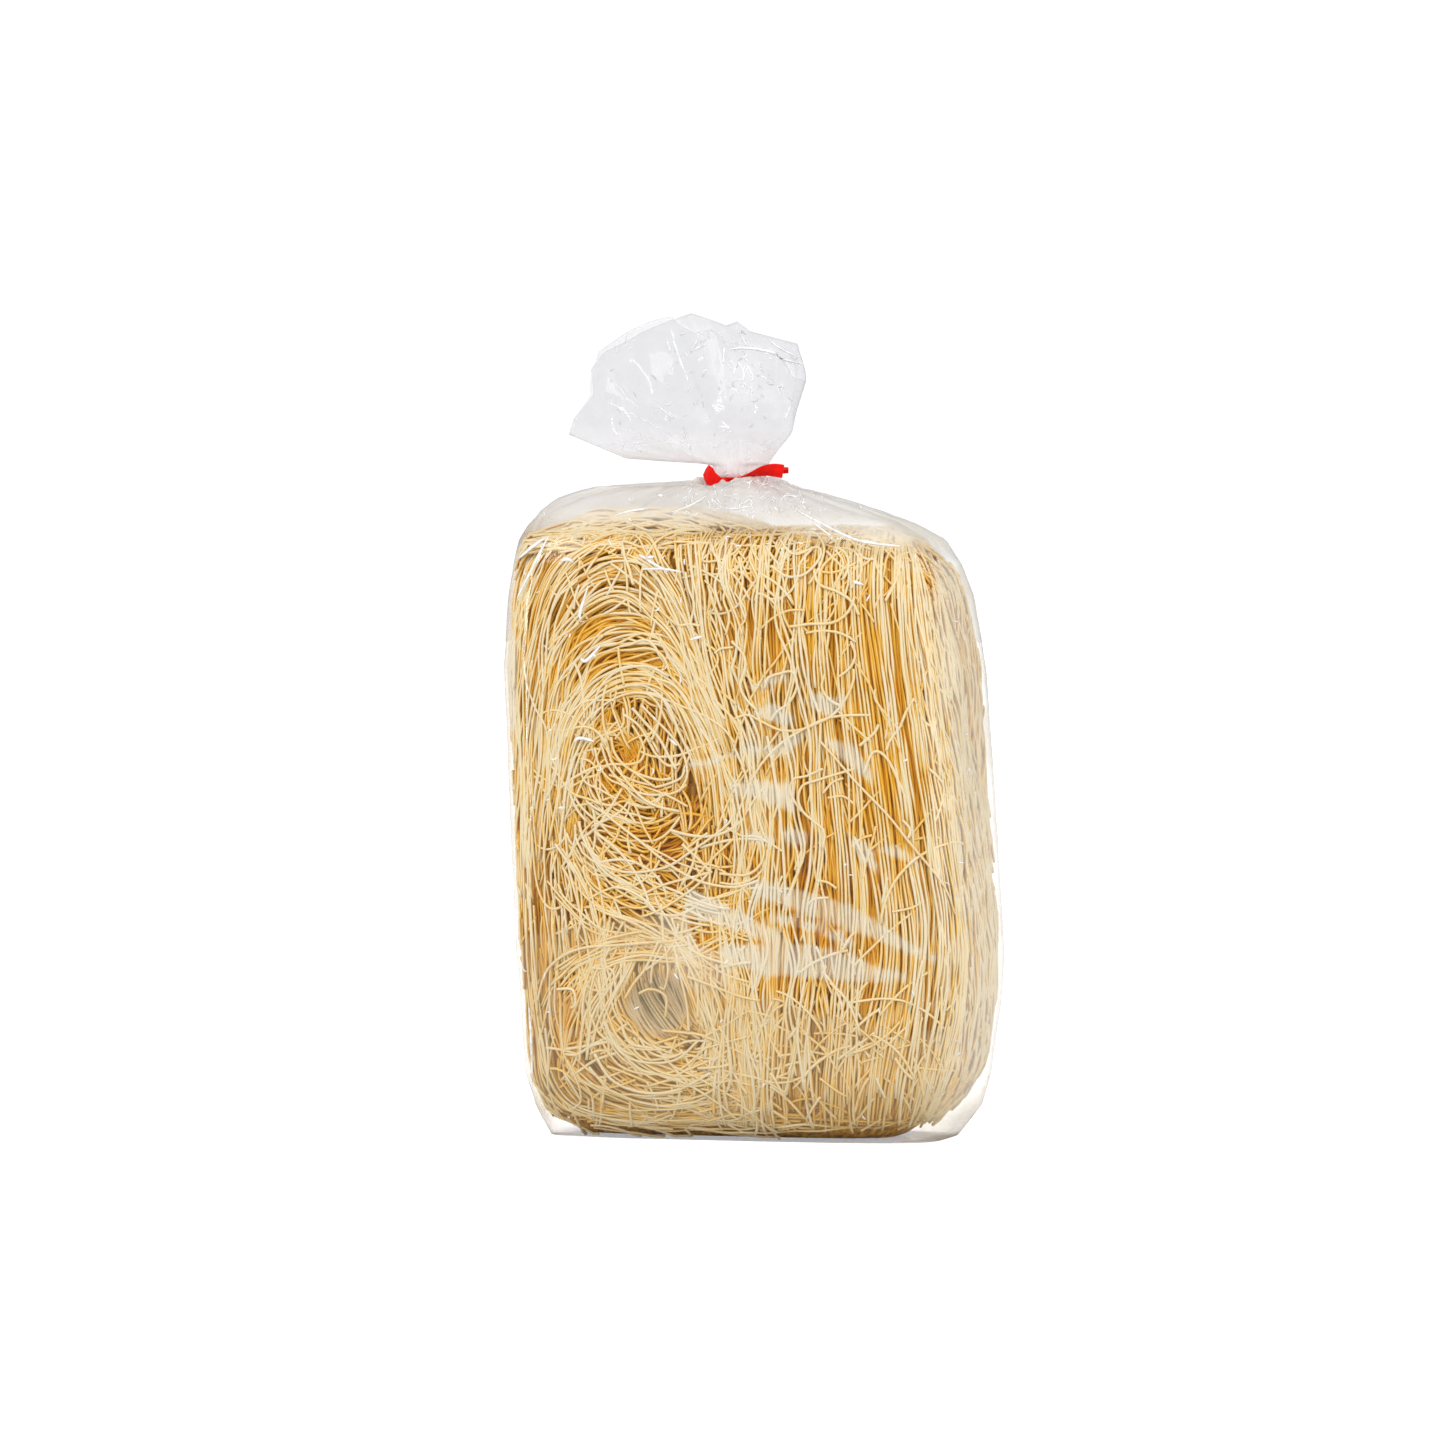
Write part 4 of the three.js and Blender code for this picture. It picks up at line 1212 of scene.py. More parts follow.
def loose_strands(made):
    """The broken ends, tips and curls, and the strands that stray over the others."""
    rng = np.random.default_rng(13)
    up, down, level = np.pi / 2, -np.pi / 2, 0
    ends = [
        # broken ends over the foot of the front
        scattered(front, rng, 80, 20, (-64, 20, 3, 34), (level, 0.7), bend=0.5),
        scattered(front, rng, 60, 18, (-64, 20, 3, 34), (up, 0.7)),
        scattered(front, rng, 90, 17, (10, 80, 3, 44), (up, 0.5)),
        scattered(front, rng, 40, 18, (-30, 60, 26, 60), (up, 1.0)),
        # tips all over
        scattered(front, rng, 130, 15, (-70, 80, 60, 192), (up, 0.45)),
        scattered(back, rng, 260, 16, (-72, 72, 3, 190), (up, 0.7)),
        scattered(front, rng, 60, 15, (88, 140, 4, 185), (up, 0.5)),
        scattered(back, rng, 60, 15, (88, 140, 4, 185), (up, 0.5)),
        # curls in the upper hollow and under it
        scattered(front, rng, 40, 24, (-44, -24, 108, 132), (level, 3), bend=0.6, lift=0.6, curl=0.3),
        scattered(front, rng, 60, 26, (-56, -6, 70, 104), (-0.7, 0.8), bend=0.4, lift=0.3),
        # curls along the top edge
        scattered(front, rng, 20, 22, (-56, -8, 190, 200), (level, 0.7), bend=0.5, lift=0.2),
        scattered(front, rng, 60, 24, (-8, 66, 191, 201), (down, 0.7), bend=0.7, lift=0.3),
    ]
    noodles("broken_ends", made, ends)
    strays = [single_strands(rng)]
    strays += [
        scattered(front, rng, 12, 50, (-8, 66, 60, 150), (up, 0.15), 0.2, 0.5, 2.2),
        scattered(front, rng, 6, 30, (0, 50, 20, 70), (0.3, 0.6), 0.25, 0.5, 2.2),
        scattered(front, rng, 10, 22, (-8, 66, 178, 198), (down, 0.9), 0.6, 0.5, 1.8, curl=0.6),
    ]
    noodles("stray_strands", made, strays)


def single_strands(rng):
    """The strands that stand out singly, each taken from the view's plane to the front face."""
    lines = np.array([curve(line, 22) for line in SINGLE_STRANDS])
    # The face is flat between its corners, so the view's plane maps to it straight.
    face_depth = BAG_OUTLINE[:, 3].max() - FILM_STANDOFF
    across = (lines[..., 0] + face_depth * math.sin(VIEW_TURN)) / math.cos(VIEW_TURN)
    up = front.up_at(lines[..., 1])
    lift = rng.uniform(0.3, TOP_LIFT, (len(lines), 1)) + 0 * up
    places, normals, radius, tone, ash = lay(front, rng, across, up, lift, sink=0.4)
    return places, normals, radius, np.minimum(tone, 0.15), ash


def noodle_core(made):
    """What shows deepest between the strands: the block's own form, taken in and hollowed at the folds."""
    inset = CORE_INSET
    heights = np.concatenate([[0.8], np.linspace(3, BLOCK_EDGE - 4, CORE_RINGS)])
    rows = []
    for height in heights:
        left, right, half_depth, squareness = block_edges(height)
        row = even_ring(left + inset, right - inset, half_depth - inset, squareness, height, CORE_COLUMNS)
        x, y = row[:, 0], row[:, 1]
        row[:, 1] += np.where(y < 0, eye_depth(x, front.up_at(height) + 0 * x), 0)
        rows.append(row)
    foot, top = rows[0], rows[-1]
    foot_middle, top_middle = foot.mean(axis=0), top.mean(axis=0) + (0, 0, 1.5)
    rows = [lerp(foot_middle, foot, share) for share in (0, 0.5)] + rows
    for share in (0.9, 0.8, 0.6, 0.4, 0.2, 0):
        row = lerp(top_middle, top, share)
        # It swells under the strands that run over the top left corner.
        row[:, 2] += CORE_SWELL * mound(row[:, 0]) * (1 - share**3)
        rows.append(row)
    # Its material paints it in the dark gold of shade.
    return piece("noodle_core", grid_mesh("noodle_core", np.array(rows)), made, "noodle")


# ---- film ----

FILM_COLUMNS = 240
VEIL_REACH = 8  # how far from a veil's edge its value still changes
FLANK_REACH = 20  # how far round the right flank the right edge's marks run on

# The film's marks are given as seen from the front right: across and up, in mm, on a plane square to that
# view. CLEAR_ZONE is where the film lies clear on the noodles, and past it the film is veiled. BANDS and
# STREAKS are veils inside it, the streaks as lines of (across, up, half width), and WINDOWS are clear
# places in the veils.
# The veils are starch dust and painted glare.
CLEAR_ZONE = [
    (-77.7, 191.3), (-64.3, 198), (-37.7, 202), (-4.3, 198), (42.3, 191.3), (57.3, 184.7),
    (62.3, 144.7), (65, 111.3), (66.3, 78), (65.7, 48), (60.7, 39.7), (49, 35.7),
    (32.3, 40.7), (17.8, 43.5), (11.9, 46.5), (5.1, 48), (-2.4, 47.6), (-6.7, 51.9),
    (-7.8, 59.3), (-13.6, 63.6), (-18.4, 64.7), (-22.7, 75.3), (-37.7, 74), (-64.3, 69.7),
    (-79.3, 64.7), (-80.3, 111.3), (-81, 161.3),
]
BANDS = [
    [
        (-2, 86.1), (1.4, 86.3), (11.9, 84.2), (26.8, 80.1), (32.8, 77.5), (38.7, 74.5), (44.7, 70.4),
        (56.7, 63), (61.9, 59.6), (50.7, 63.3), (40.2, 67.4), (28.3, 71.5), (19.3, 74.9), (5.9, 79.8),
        (-0.8, 82),
    ],
    [
        (4.4, 75.3), (11.9, 74.5), (20.8, 72.7), (28.3, 69.7), (34.3, 65.6), (31.3, 64.3), (23.8, 68.2),
        (16.3, 71.2), (5.1, 73.2),
    ],
    [
        (-21, 83.5), (-11.3, 79.4), (-2.3, 74.9), (3.6, 71.9), (8.9, 68.9), (12.6, 66.3), (8.9, 65.4),
        (5.1, 65.6), (-6.1, 70), (-16.5, 73.8), (-23, 75.6),
    ],
    [
        (-9.8, 65), (3.6, 65.2), (17.8, 65.6), (25.3, 63.7), (34.3, 61.5), (40.2, 58.5), (53.7, 54.7),
        (40.2, 53.6), (31.3, 54), (20.8, 54.7), (12.6, 55.5), (4.4, 55), (-0.8, 57), (-6.1, 59.2),
        (-11.3, 61.5),
    ],
    # up the left rim, where the film stands off
    [(-86, 174), (-79.6, 168), (-78.6, 150), (-78.8, 135), (-86, 131)],
]
WINDOWS = [
    [(-63.3, 36.9), (-58.3, 37.2), (-52.7, 40.6), (-52.7, 41.4), (-58.3, 41.3), (-63.3, 37.7)],
    [(-66, 54.5), (-60, 56.5), (-54, 55), (-56, 49), (-62, 47), (-66, 50)],
    [(30, 47), (38, 46.5), (46, 42.5), (40, 43.5)],
]
STREAKS = [
    [
        (-21, 124.2, 0.7), (-13.8, 125.3, 0.9), (-9, 126.8, 0.7), (-4.2, 128.3, 1), (-0.4, 128.8, 1.4),
        (5.9, 128.4, 1.5), (10.2, 129.5, 2.2), (12.6, 132.2, 1.7), (16.9, 134.8, 0.6),
    ],
    [(-9, 118.2, 0.6), (-4.7, 116.1, 2), (-0.4, 115.8, 2.4), (2, 118, 1)],
    [(4.5, 115.3, 3.6), (9.5, 114, 3.6), (12, 110, 1.5)],
    [(-1.8, 101, 0.9), (6, 99.5, 0.9)],
    [(11, 101, 2), (15.5, 100.5, 2.4)],
    [(1, 141, 1), (5.9, 141.4, 2.8), (11, 139, 2)],
    [(20, 145, 2.6), (25, 143, 2.8), (29, 146, 1)],
    [(-6.9, 143.2, 1), (-5.2, 143.4, 1)],
    [(-1.7, 149, 0.4), (5.7, 151.7, 1.3), (13.3, 153.7, 0.4)],
    [(41, 97, 0.5), (45.7, 96.3, 2), (50.7, 93.7, 0.8), (55, 91, 0.3)],
    [(31, 101, 0.6), (36, 96, 2.4), (40, 90, 1)],
    [(24, 132, 1), (31, 128, 3), (38, 120, 1)],
]

# Painted glints: white slivers along the film's creases, as a width and a line of (across, up).
PAINTED_GLINTS = [
    (
        0.5,
        [
            (-13.2, 214.4), (-9.8, 216.8), (-6.3, 217.8), (-2, 218.4), (1, 218.9), (4, 219.2),
            (7.2, 218.9), (9.6, 218.2),
        ],
    ),
    (0.4, [(-11, 213.8), (-8, 215.8), (-5, 216.2), (-3, 215)]),
    (0.5, [(-6, 216.4), (-3.4, 217.4), (-1, 216.2), (-2, 214.6)]),
    (0.4, [(0, 217.6), (2.6, 216.2), (4.4, 217.6), (6.6, 216)]),
    (0.4, [(5, 215), (8, 216.8), (11, 215.6), (14.5, 214.2)]),
    (0.5, [(9.5, 218.2), (12.5, 216.6), (16, 215.2), (20, 213)]),
    (0.5, [(-8, 208.9), (-7, 211.5), (-5.6, 211), (-3.7, 211.3), (-4.1, 208.4)]),
    (0.6, [(-13.7, 209.8), (-12.8, 212), (-10.4, 208.8)]),
    (0.5, [(-3.7, 209.3), (-0.8, 211.7)]),
    (0.6, [(8.3, 209.3), (9.5, 211.5), (10.3, 212.2), (14.6, 212.2), (15.1, 211.2)]),
    (0.6, [(15.3, 208.4), (16.5, 210.3), (16.3, 212.7)]),
    (0.7, [(14.6, 214.1), (15.8, 216), (17, 214.1), (18.4, 215.1)]),
    (0.5, [(2.1, 215.6), (5, 216.5), (7.9, 214.6), (8.8, 217.5)]),
    (0.4, [(-11.3, 213.2), (-7.5, 212.2), (-4.6, 213.2)]),
    (0.4, [(-0.8, 212.7), (2.1, 214.1), (1.1, 216)]),
    (0.6, [(-8, 258), (-6, 255), (-7, 252)]),
    (0.7, [(-5, 257), (-3, 253), (-4, 249)]),
    (0.5, [(-7, 250), (-4, 251), (-2, 248)]),
    (0.6, [(-2, 256), (0, 252), (-1, 250)]),
    (0.5, [(-6, 247), (-3, 246), (-1, 248)]),
    (0.25, [(-49.3, 244.9), (-40, 240), (-29, 234), (-22, 230)]),
    (0.25, [(-46, 236), (-36, 233), (-24, 229.5)]),
    (1.2, [(-78.1, 191.5), (-73, 195.6), (-68, 199.1)]),
    (1.1, [(-67.7, 199.1), (-72.6, 189.5), (-78.1, 178.7)]),
    (0.8, [(-69.5, 196), (-71.5, 190)]),
    (1.6, [(-63.6, 190.6), (-61.5, 191.6), (-59.4, 190.4)]),
    (0.8, [(-45.5, 206), (-40, 207.4), (-34.4, 208.1)]),
    (0.6, [(-27.5, 206.7), (-21, 209), (-15, 212.6)]),
    (0.7, [(-67.7, 210.7), (-58, 213.6), (-48.3, 215)]),
    (1.0, [(-37.7, 193), (-33, 190), (-28.3, 187.3)]),
    (0.8, [(-36.7, 188.1), (-30, 188.2), (-23.1, 187.1)]),
    (1.2, [(-35, 191.9), (-32.6, 192.2)]),
    (1.4, [(-32, 213), (-29.8, 212.2)]),
    (1.0, [(14.3, 207.3), (22, 203), (32.5, 197.9), (40, 196.3), (47.7, 195.5)]),
    (0.6, [(19.6, 203.1), (25.4, 198.7)]),
    (1.1, [(32.2, 184.1), (35.7, 182.9)]),
    (1.2, [(15.8, 209.3), (17.2, 208)]),
    (0.6, [(34.8, 210.2), (35.7, 208.1)]),
    (0.7, [(10.2, 212.5), (14.9, 211.7)]),
    (0.6, [(16, 215.5), (19, 214.9)]),
    (0.6, [(-13.3, 210.9), (-9.8, 207.8)]),
    (0.6, [(-10.3, 208.1), (-5, 208), (-1.2, 208.8)]),
    (0.7, [(-7.3, 209.8), (-6.3, 211.3)]),
    (0.5, [(-13.3, 214.9), (-9.3, 217.4), (-2.2, 218.5), (4.3, 219.4), (10, 218.2)]),
    (0.8, [(-21.7, 230.1), (-20.7, 228.1)]),
    (0.6, [(-2.7, 224.8), (-0.7, 225.6)]),
    (1.0, [(-8.1, 261), (-2.4, 261.4), (4.7, 260.3), (11.7, 258.2), (16.7, 256.8)]),
    (0.7, [(5.4, 265.3), (8.9, 262.5), (15.3, 259)]),
    (0.8, [(-9.5, 261.7), (-10.2, 256.1)]),
    (0.4, [(-11.7, 268.8), (-8.8, 263.2)]),
    (0.7, [(-4.5, 268.1), (-1.7, 262.5)]),
    (0.9, [(-18, 264.7), (-20.8, 259.7)]),
    (0.7, [(-15, 262.8), (-20.6, 260.4)]),
    (0.7, [(-28.5, 264.6), (-27.5, 260.3)]),
    (0.8, [(-28.5, 239.8), (-27.5, 237.7)]),
    (0.8, [(10.3, 237.7), (12.4, 242.7)]),
    (0.7, [(-23, 235.7), (-20.8, 228.7)]),
    (0.5, [(-34.3, 244.8), (-26.4, 238.4)]),
    (1.0, [(-54.4, 182.7), (-57.1, 173.9), (-56.8, 171.5)]),
    (1.2, [(-50.3, 163), (-55.1, 157.9), (-56.8, 158.9)]),
    (1.1, [(-21.1, 165), (-17, 166)]),
    (1.3, [(-59.2, 131.2), (-57, 132.6), (-52.4, 131.4)]),
    (1.0, [(-64.3, 109.5), (-62, 109.5)]),
    (1.0, [(-28.1, 132.8), (-25.1, 130.3)]),
    (1.1, [(-74.2, 43), (-73.6, 33), (-73.2, 18)]),
    (0.6, [(-39.4, 43.4), (-37.6, 44.4)]),
]
GLINT_STEP = 1.2  # between the points along one
GLINT_LIFT = 0.12  # off the film
GLINT_FLATNESS = 0.25

# Specks, which are short painted glints, lie over the whole height, more of them on the shoulders and the fan
# and
# most round the tie: the zones as (low, high, left, right), and the odds that one lies in each.
GLINT_SPECKS = 510
GLINT_SPECK_ZONES = [
    (8, 195, -76, 72), (195, 216, -76, 72), (206, 219, -24, 24), (226, 268, -50, 16), (244, 262, -11, 5),
]
GLINT_SPECK_ODDS = (0.22, 0.14, 0.42, 0.14, 0.08)


def fan_section(rise):
    """One section of the fan, at a rise from 0 at the neck to 1 at the mouth."""
    count = FILM_COLUMNS
    half = count // 2
    i = np.arange(count)
    is_front = i < half
    share = np.where(is_front, i / half, 2 - i / half)
    base = np.stack([NECK_X - FAN_BASE * np.cos(np.pi * share), np.full(count, NECK_TOP + 0.5)], axis=-1)
    at = share * (len(FAN_RIM) - 1)
    places = np.arange(len(FAN_RIM))
    rim = np.stack([np.interp(at, places, FAN_RIM[:, 0]), np.interp(at, places, FAN_RIM[:, 1])], axis=-1)
    drop = smoothstep(share, FAN_LOBE_SPLIT, FAN_LOBE_SPLIT + 0.1) * (1 - smoothstep(share, 0.93, 1))
    rim[:, 1] -= FAN_FRONT_DROP * drop * is_front
    pull = np.where((share < 0.5)[:, None], FAN_LEFT_BEND, FAN_RIGHT_BEND)
    if rise < FAN_BEND:
        bent = lerp(base, pull, rise / FAN_BEND)
    else:
        bent = lerp(pull, rim, (rise - FAN_BEND) / (1 - FAN_BEND))
    flat = lerp(lerp(base, rim, rise), bent, np.abs(2 * share - 1)[:, None] ** 3)
    lobe = smoothstep(share, FAN_LOBE_SPLIT - 0.24, FAN_LOBE_SPLIT + 0.2)
    crease = 1 - 0.15 * rise * np.exp(-(((share - FAN_LOBE_SPLIT) / 0.05) ** 2))
    swell = lerp(FAN_DEPTH_LEFT, FAN_DEPTH_RIGHT, lobe) * math.sin(math.pi * min(rise, 0.75) * 0.67)
    depth = np.maximum(NECK_RADIUS * (1 - 0.6 * rise), swell) * crease
    depth = depth * (1 - 0.92 * smoothstep(rise, 0.4, 0.95) * (1 - lobe))
    pleat = 1.4 * rise * np.cos(2 * np.pi * 5 * share + np.where(is_front, 0, 1.3))
    outward = (depth + pleat) * np.sin(np.pi * np.clip(share, 0, 1)) ** 0.7
    return np.stack([flat[:, 0], np.where(is_front, -outward, outward), flat[:, 1]], axis=-1)


# The film bulges up round the tie and folds down to the neck: how much wider than the neck, how far up
# from the lowest height to the crest, and that lowest height.
COLLAR = [
    (6.4, 0.55, 215),
    (5.6, 0.92, 215),
    (5.0, 1.0, 215),
    (4.3, 0.8, 215),
    (3.8, 0.3, 215),
    (2.4, 0, 215.2),
    (0.8, 0, 215.5),
]

# The crest of the bulge along its front, low on the left, where the tie's knot hangs over it: x, height.
COLLAR_FRONT = np.array(
    [
        [-20, 216.4],
        [-15, 214.2],
        [-10.8, 214.2],
        [-8.2, 216.2],
        [-6.4, 217.2],
        [-2.8, 218.2],
        [1.5, 219],
        [5, 219.3],
        [12, 217.8],
    ]
)
COLLAR_BACK = 219.2


def collar_crest(x, y):
    """How high the bulge stands."""
    (ahead,) = read(COLLAR_FRONT, x)
    return lerp(ahead, COLLAR_BACK, smoothstep(y, -7, -2))


def ring_round_neck(growth, height):
    """A level ring of the film, so much wider than the neck."""
    reach = NECK_RADIUS + growth
    return even_ring(NECK_X - reach, NECK_X + reach, reach, 2, height, FILM_COLUMNS)


def film_rows():
    """The film's rings from the middle of its foot up to the fan's rim, without its creases."""
    heights = np.concatenate([np.linspace(0, 24, 13), np.linspace(26, 190, 66), np.linspace(191.5, 215, 21)])
    body = [even_ring(*read(BAG_OUTLINE, height), height, FILM_COLUMNS) for height in heights]
    foot, shoulder = body[0], body[-1]
    base = [lerp(foot.mean(axis=0), foot, share) for share in (0, 0.3, 0.6, 0.85)]
    collar = []
    for growth, crest, low in COLLAR:
        ring = ring_round_neck(growth, low)
        ring[:, 2] = lerp(low, collar_crest(ring[:, 0], ring[:, 1]), crest)
        collar.append(ring)
    slope = [lerp(shoulder, collar[0], share) for share in (0.2, 0.4, 0.6, 0.8)]
    neck = [ring_round_neck(0, height) for height in np.linspace(NECK_BOTTOM + 0.8, NECK_TOP, 6)]
    fan = [fan_section(rise) for rise in np.linspace(0, 1, 44)]
    return np.array(base + body + slope + collar + neck + fan)


def crumpled(places):
    """The film's rows with its pleats and creases."""
    clouds = [Cloud(21), Cloud(22), Cloud(23)]
    z = places[..., 2]
    normals = unit(
        np.cross(np.roll(places, -1, axis=1) - np.roll(places, 1, axis=1), np.gradient(places, axis=0))
    )
    shoulder = smoothstep(z, 196, 209) * (1 - smoothstep(z, 217, 219))
    neck = smoothstep(z, 214, 218) * (1 - smoothstep(z, 226, 240))
    fan = smoothstep(z, 226, 236)
    body = 1 - smoothstep(z, 196, 205)
    around = np.arctan2(places[..., 1], places[..., 0] - NECK_X)
    reach = np.hypot(places[..., 1], places[..., 0] - NECK_X)
    polar = np.stack([around * 9, reach / 40, z * 0], axis=-1)
    pleats = clouds[0].ridges(polar, 1.0) - 0.5
    fine = clouds[1].ridges(np.stack([around * 26, reach / 30, z / 60], axis=-1), 1.0) - 0.5
    broad = clouds[2].ridges(places, 17) - 0.5
    small = clouds[1].ridges(places, 6.5) - 0.5
    push = shoulder * (1.6 * pleats + 0.5 * fine)
    push += neck * (0.5 * pleats + 0.4 * fine - 0.3)
    push += fan * (1.8 * broad + 0.5 * small) * (1 - 0.75 * smoothstep(-places[..., 0], 12, 26))
    push += body * (0.35 * broad + 0.2 * small)
    flat_foot = smoothstep(z, 0.1, 3)
    return places + normals * (push * flat_foot)[..., None]


def view_plane(places):
    """Places as (across, up) on the plane square to the view from the front right."""
    return np.stack([places @ VIEW_RIGHT, places[..., 2]], axis=-1)


def seen_from_front_right(places):
    """Places as (across, up) on the plane of the film's marks. The half of the bag that faces away takes
    the marks of the half that faces the view, turned half round, past the right flank."""
    points = view_plane(places)
    flank = np.where(points[..., 0] > 0, FLANK_REACH, 0)
    points[..., 0] *= np.where(places @ TOWARDS_VIEW < -flank, -1, 1)
    return points


def inside_line(points, line):
    """How far inside a line with half widths each point lies."""
    line = np.array(line, float)
    best = np.full(points.shape[:-1], -1e3)
    for start, end in zip(line, line[1:]):
        way = end[:2] - start[:2]
        share = np.clip((points - start[:2]) @ way / (way @ way), 0, 1)
        away = np.linalg.norm(points - start[:2] - share[..., None] * way, axis=-1)
        best = np.maximum(best, lerp(start[2], end[2], share) - away)
    return best


def inside_zone(points, zone):
    """How far inside a closed outline each point lies, and outside it where that is below 0."""
    corners = [(x, y, 0) for x, y in zone]
    away = -inside_line(points, corners + corners[:1])
    inside = np.zeros(points.shape[:-1], bool)
    x, y = points[..., 0], points[..., 1]
    for (ax, ay), (bx, by) in zip(zone, zone[1:] + zone[:1]):
        crosses = (ay > y) != (by > y)
        inside ^= crosses & (x < ax + (bx - ax) * (y - ay) / (by - ay if by != ay else 1))
    return np.where(inside, away, -away)


def inside_bands(points):
    """How far inside the nearest band or streak each point lies."""
    depths = [inside_zone(points, zone) for zone in BANDS]
    depths += [inside_line(points, line) for line in STREAKS]
    return np.max(depths, axis=0)


def film_veil(places):
    """Half way to 1 at a veil's edge, more inside it and less outside it."""
    points = seen_from_front_right(places)
    # The edge down the right is ragged and soft, and so is the one where the veil ends round the flank.
    right = smoothstep(points[..., 0], 42, 56)
    ragged = 9 * (Cloud(51).at(places, 8) - 0.5)
    depth = -inside_zone(points, CLEAR_ZONE)
    depth = lerp(depth, 0.3 * (depth + ragged), right)
    round_flank = 3 + 0.28 * (places @ TOWARDS_VIEW) + 0.3 * ragged
    depth = np.where(points[..., 0] > 56, np.minimum(depth, round_flank), depth)
    depth = np.maximum(depth, inside_bands(points))
    for zone in WINDOWS:
        depth = np.minimum(depth, -inside_zone(points, zone))
    # Above the noodles the gradual haze takes over.
    fade = 1 - smoothstep(places[..., 2], 188, 198)
    return np.clip(0.5 + depth / (2 * VEIL_REACH), 0, 1) * fade


def film_dust_and_glare(places):
    """How white the film is inside its veils, which are dust and painted glare."""
    across, up = np.moveaxis(seen_from_front_right(places), -1, 0)
    middle = smoothstep(across, -40, -22) * smoothstep(up, 46, 56)
    dust_and_glare = 0.17 + 0.11 * middle
    # Milkier round the rims, painted glare for the film's grazing reflection there.
    rim = np.maximum(smoothstep(across, 50, 68), smoothstep(-across, 77, 79) * smoothstep(up, 120, 132))
    milky = lerp(0.27, 0.35, smoothstep(across, 0, 1) * smoothstep(up, 50, 120))
    dust_and_glare = lerp(dust_and_glare, milky, rim)
    # Above the noodles only its colour counts, which is the thickest veil's.
    return lerp(dust_and_glare * smoothstep(up, 2, 9), 0.4, smoothstep(up, 186, 194))


def from_neck(places):
    """Places as (turn round the neck, way out from it, 0), for pleats that run out from the neck."""
    x, y = places[..., 0] - NECK_X, places[..., 1]
    return np.stack([np.arctan2(y, x), np.hypot(x, y), 0 * x], axis=-1)


def covered(points, others):
    """How much of the view right round each point the others fill, from 0 to 1."""
    cell, reach = 2, 60
    filled = np.zeros((4 * reach, 4 * reach))
    filled[tuple(np.moveaxis(np.floor(others / cell).astype(int) + reach, -1, 0))] = 1
    at = np.floor(points / cell).astype(int) + reach
    around = [filled[at[..., 0] + i, at[..., 1] + j] for i in (-1, 0, 1) for j in (-1, 0, 1)]
    return np.mean(around, axis=0)


def seen_singly(places):
    """Where a place of the film's rows isn't seen in front of or behind the fan's other ply."""
    plies = np.split(view_plane(places), 2, axis=1)
    others = [ply[places[:, :1, 2].max(axis=1) > NECK_TOP] for ply in plies[::-1]]
    return 1 - np.concatenate([covered(ply, other) for ply, other in zip(plies, others)], axis=1)


def film_haze(places):
    """How milky the film is, from 0 clear to 1 white, apart from its veils."""
    z = places[..., 2]
    across = seen_from_front_right(places)[..., 0]
    cloud = Cloud(31)
    mist, fleck = cloud.at(places, 14), cloud.ridges(places, 5)
    pleat = cloud.ridges(from_neck(places) * (13, 1 / 25, 0), 1.0)
    haze = 0.002 + 0.008 * mist
    # The empty lower corners are dusty.
    corner = np.maximum(smoothstep(across, 46, 58), smoothstep(-across, 64, 68))
    haze += 0.2 * corner * (1 - smoothstep(z, 8, 24))
    # It clouds over above the noodles, which end lower on the right.
    edge = 204 - 8 * smoothstep(across, -10, 55)
    clouded = 0.3 + 0.2 * mist + 0.16 * pleat + 0.1 * smoothstep(across, -30, 10)
    haze += smoothstep(z - edge, -5, 4) * clouded
    # Two plies lie over each other in the fan, and where only one is seen it is as milky as both.
    sheer = 0.24 + 0.05 * fleck
    single = smoothstep(seen_singly(places), 0.35, 0.8)
    haze += smoothstep(z, 222, 234) * (lerp(sheer, 2 * sheer - sheer**2, single) - haze)
    # It is drawn tight and clearer in the middle of the fan.
    tight = np.hypot((view_plane(places)[..., 0] + 4) / 8, (z - 253) / 11)
    haze *= 1 - 0.45 * (1 - smoothstep(tight, 0.2, 1.2)) * smoothstep(fleck, 0.2, 0.7)
    return np.clip(haze, 0, 1)


def film_bag(made, inner):
    """The whole bag as one thin film. Its outer face is of the first material, its inner of the second."""
    rows = crumpled(film_rows())
    layers = {"haze": film_haze(rows), "veil": film_veil(rows), "dust_and_glare": film_dust_and_glare(rows)}
    mesh = grid_mesh("film_bag", rows, layers)
    added = piece("film_bag", mesh, made, "film", "bag_top", "bag_corner_left", "bag_corner_right")
    mesh.materials.append(inner)
    # Film this thin keeps next to no light from what it covers.
    added.visible_shadow = False
    wall = added.modifiers.new("wall", "SOLIDIFY")
    wall.thickness = FILM_THICKNESS * MM
    wall.offset = -1
    wall.material_offset = 1
    wall.material_offset_rim = 0
    return added


def glint_speck(rng):
    """A short bent painted glint in a random place on the front (1) or the back (-1): width, line, side."""
    low, high, left, right = rng.choice(GLINT_SPECK_ZONES, p=GLINT_SPECK_ODDS)
    up, across = rng.uniform(low, high), rng.uniform(left, right)
    turn, size, bow = rng.uniform(0, np.pi), rng.uniform(0.8, 2.8), rng.normal(0, 0.25)
    end = (across + size * math.cos(turn), up + size * math.sin(turn))
    middle = (
        across + size * (math.cos(turn) / 2 - bow * math.sin(turn)),
        up + size * (math.sin(turn) / 2 + bow * math.cos(turn)),
    )
    return rng.uniform(0.25, 0.65), [(across, up), middle, end], rng.choice((-1, 1))


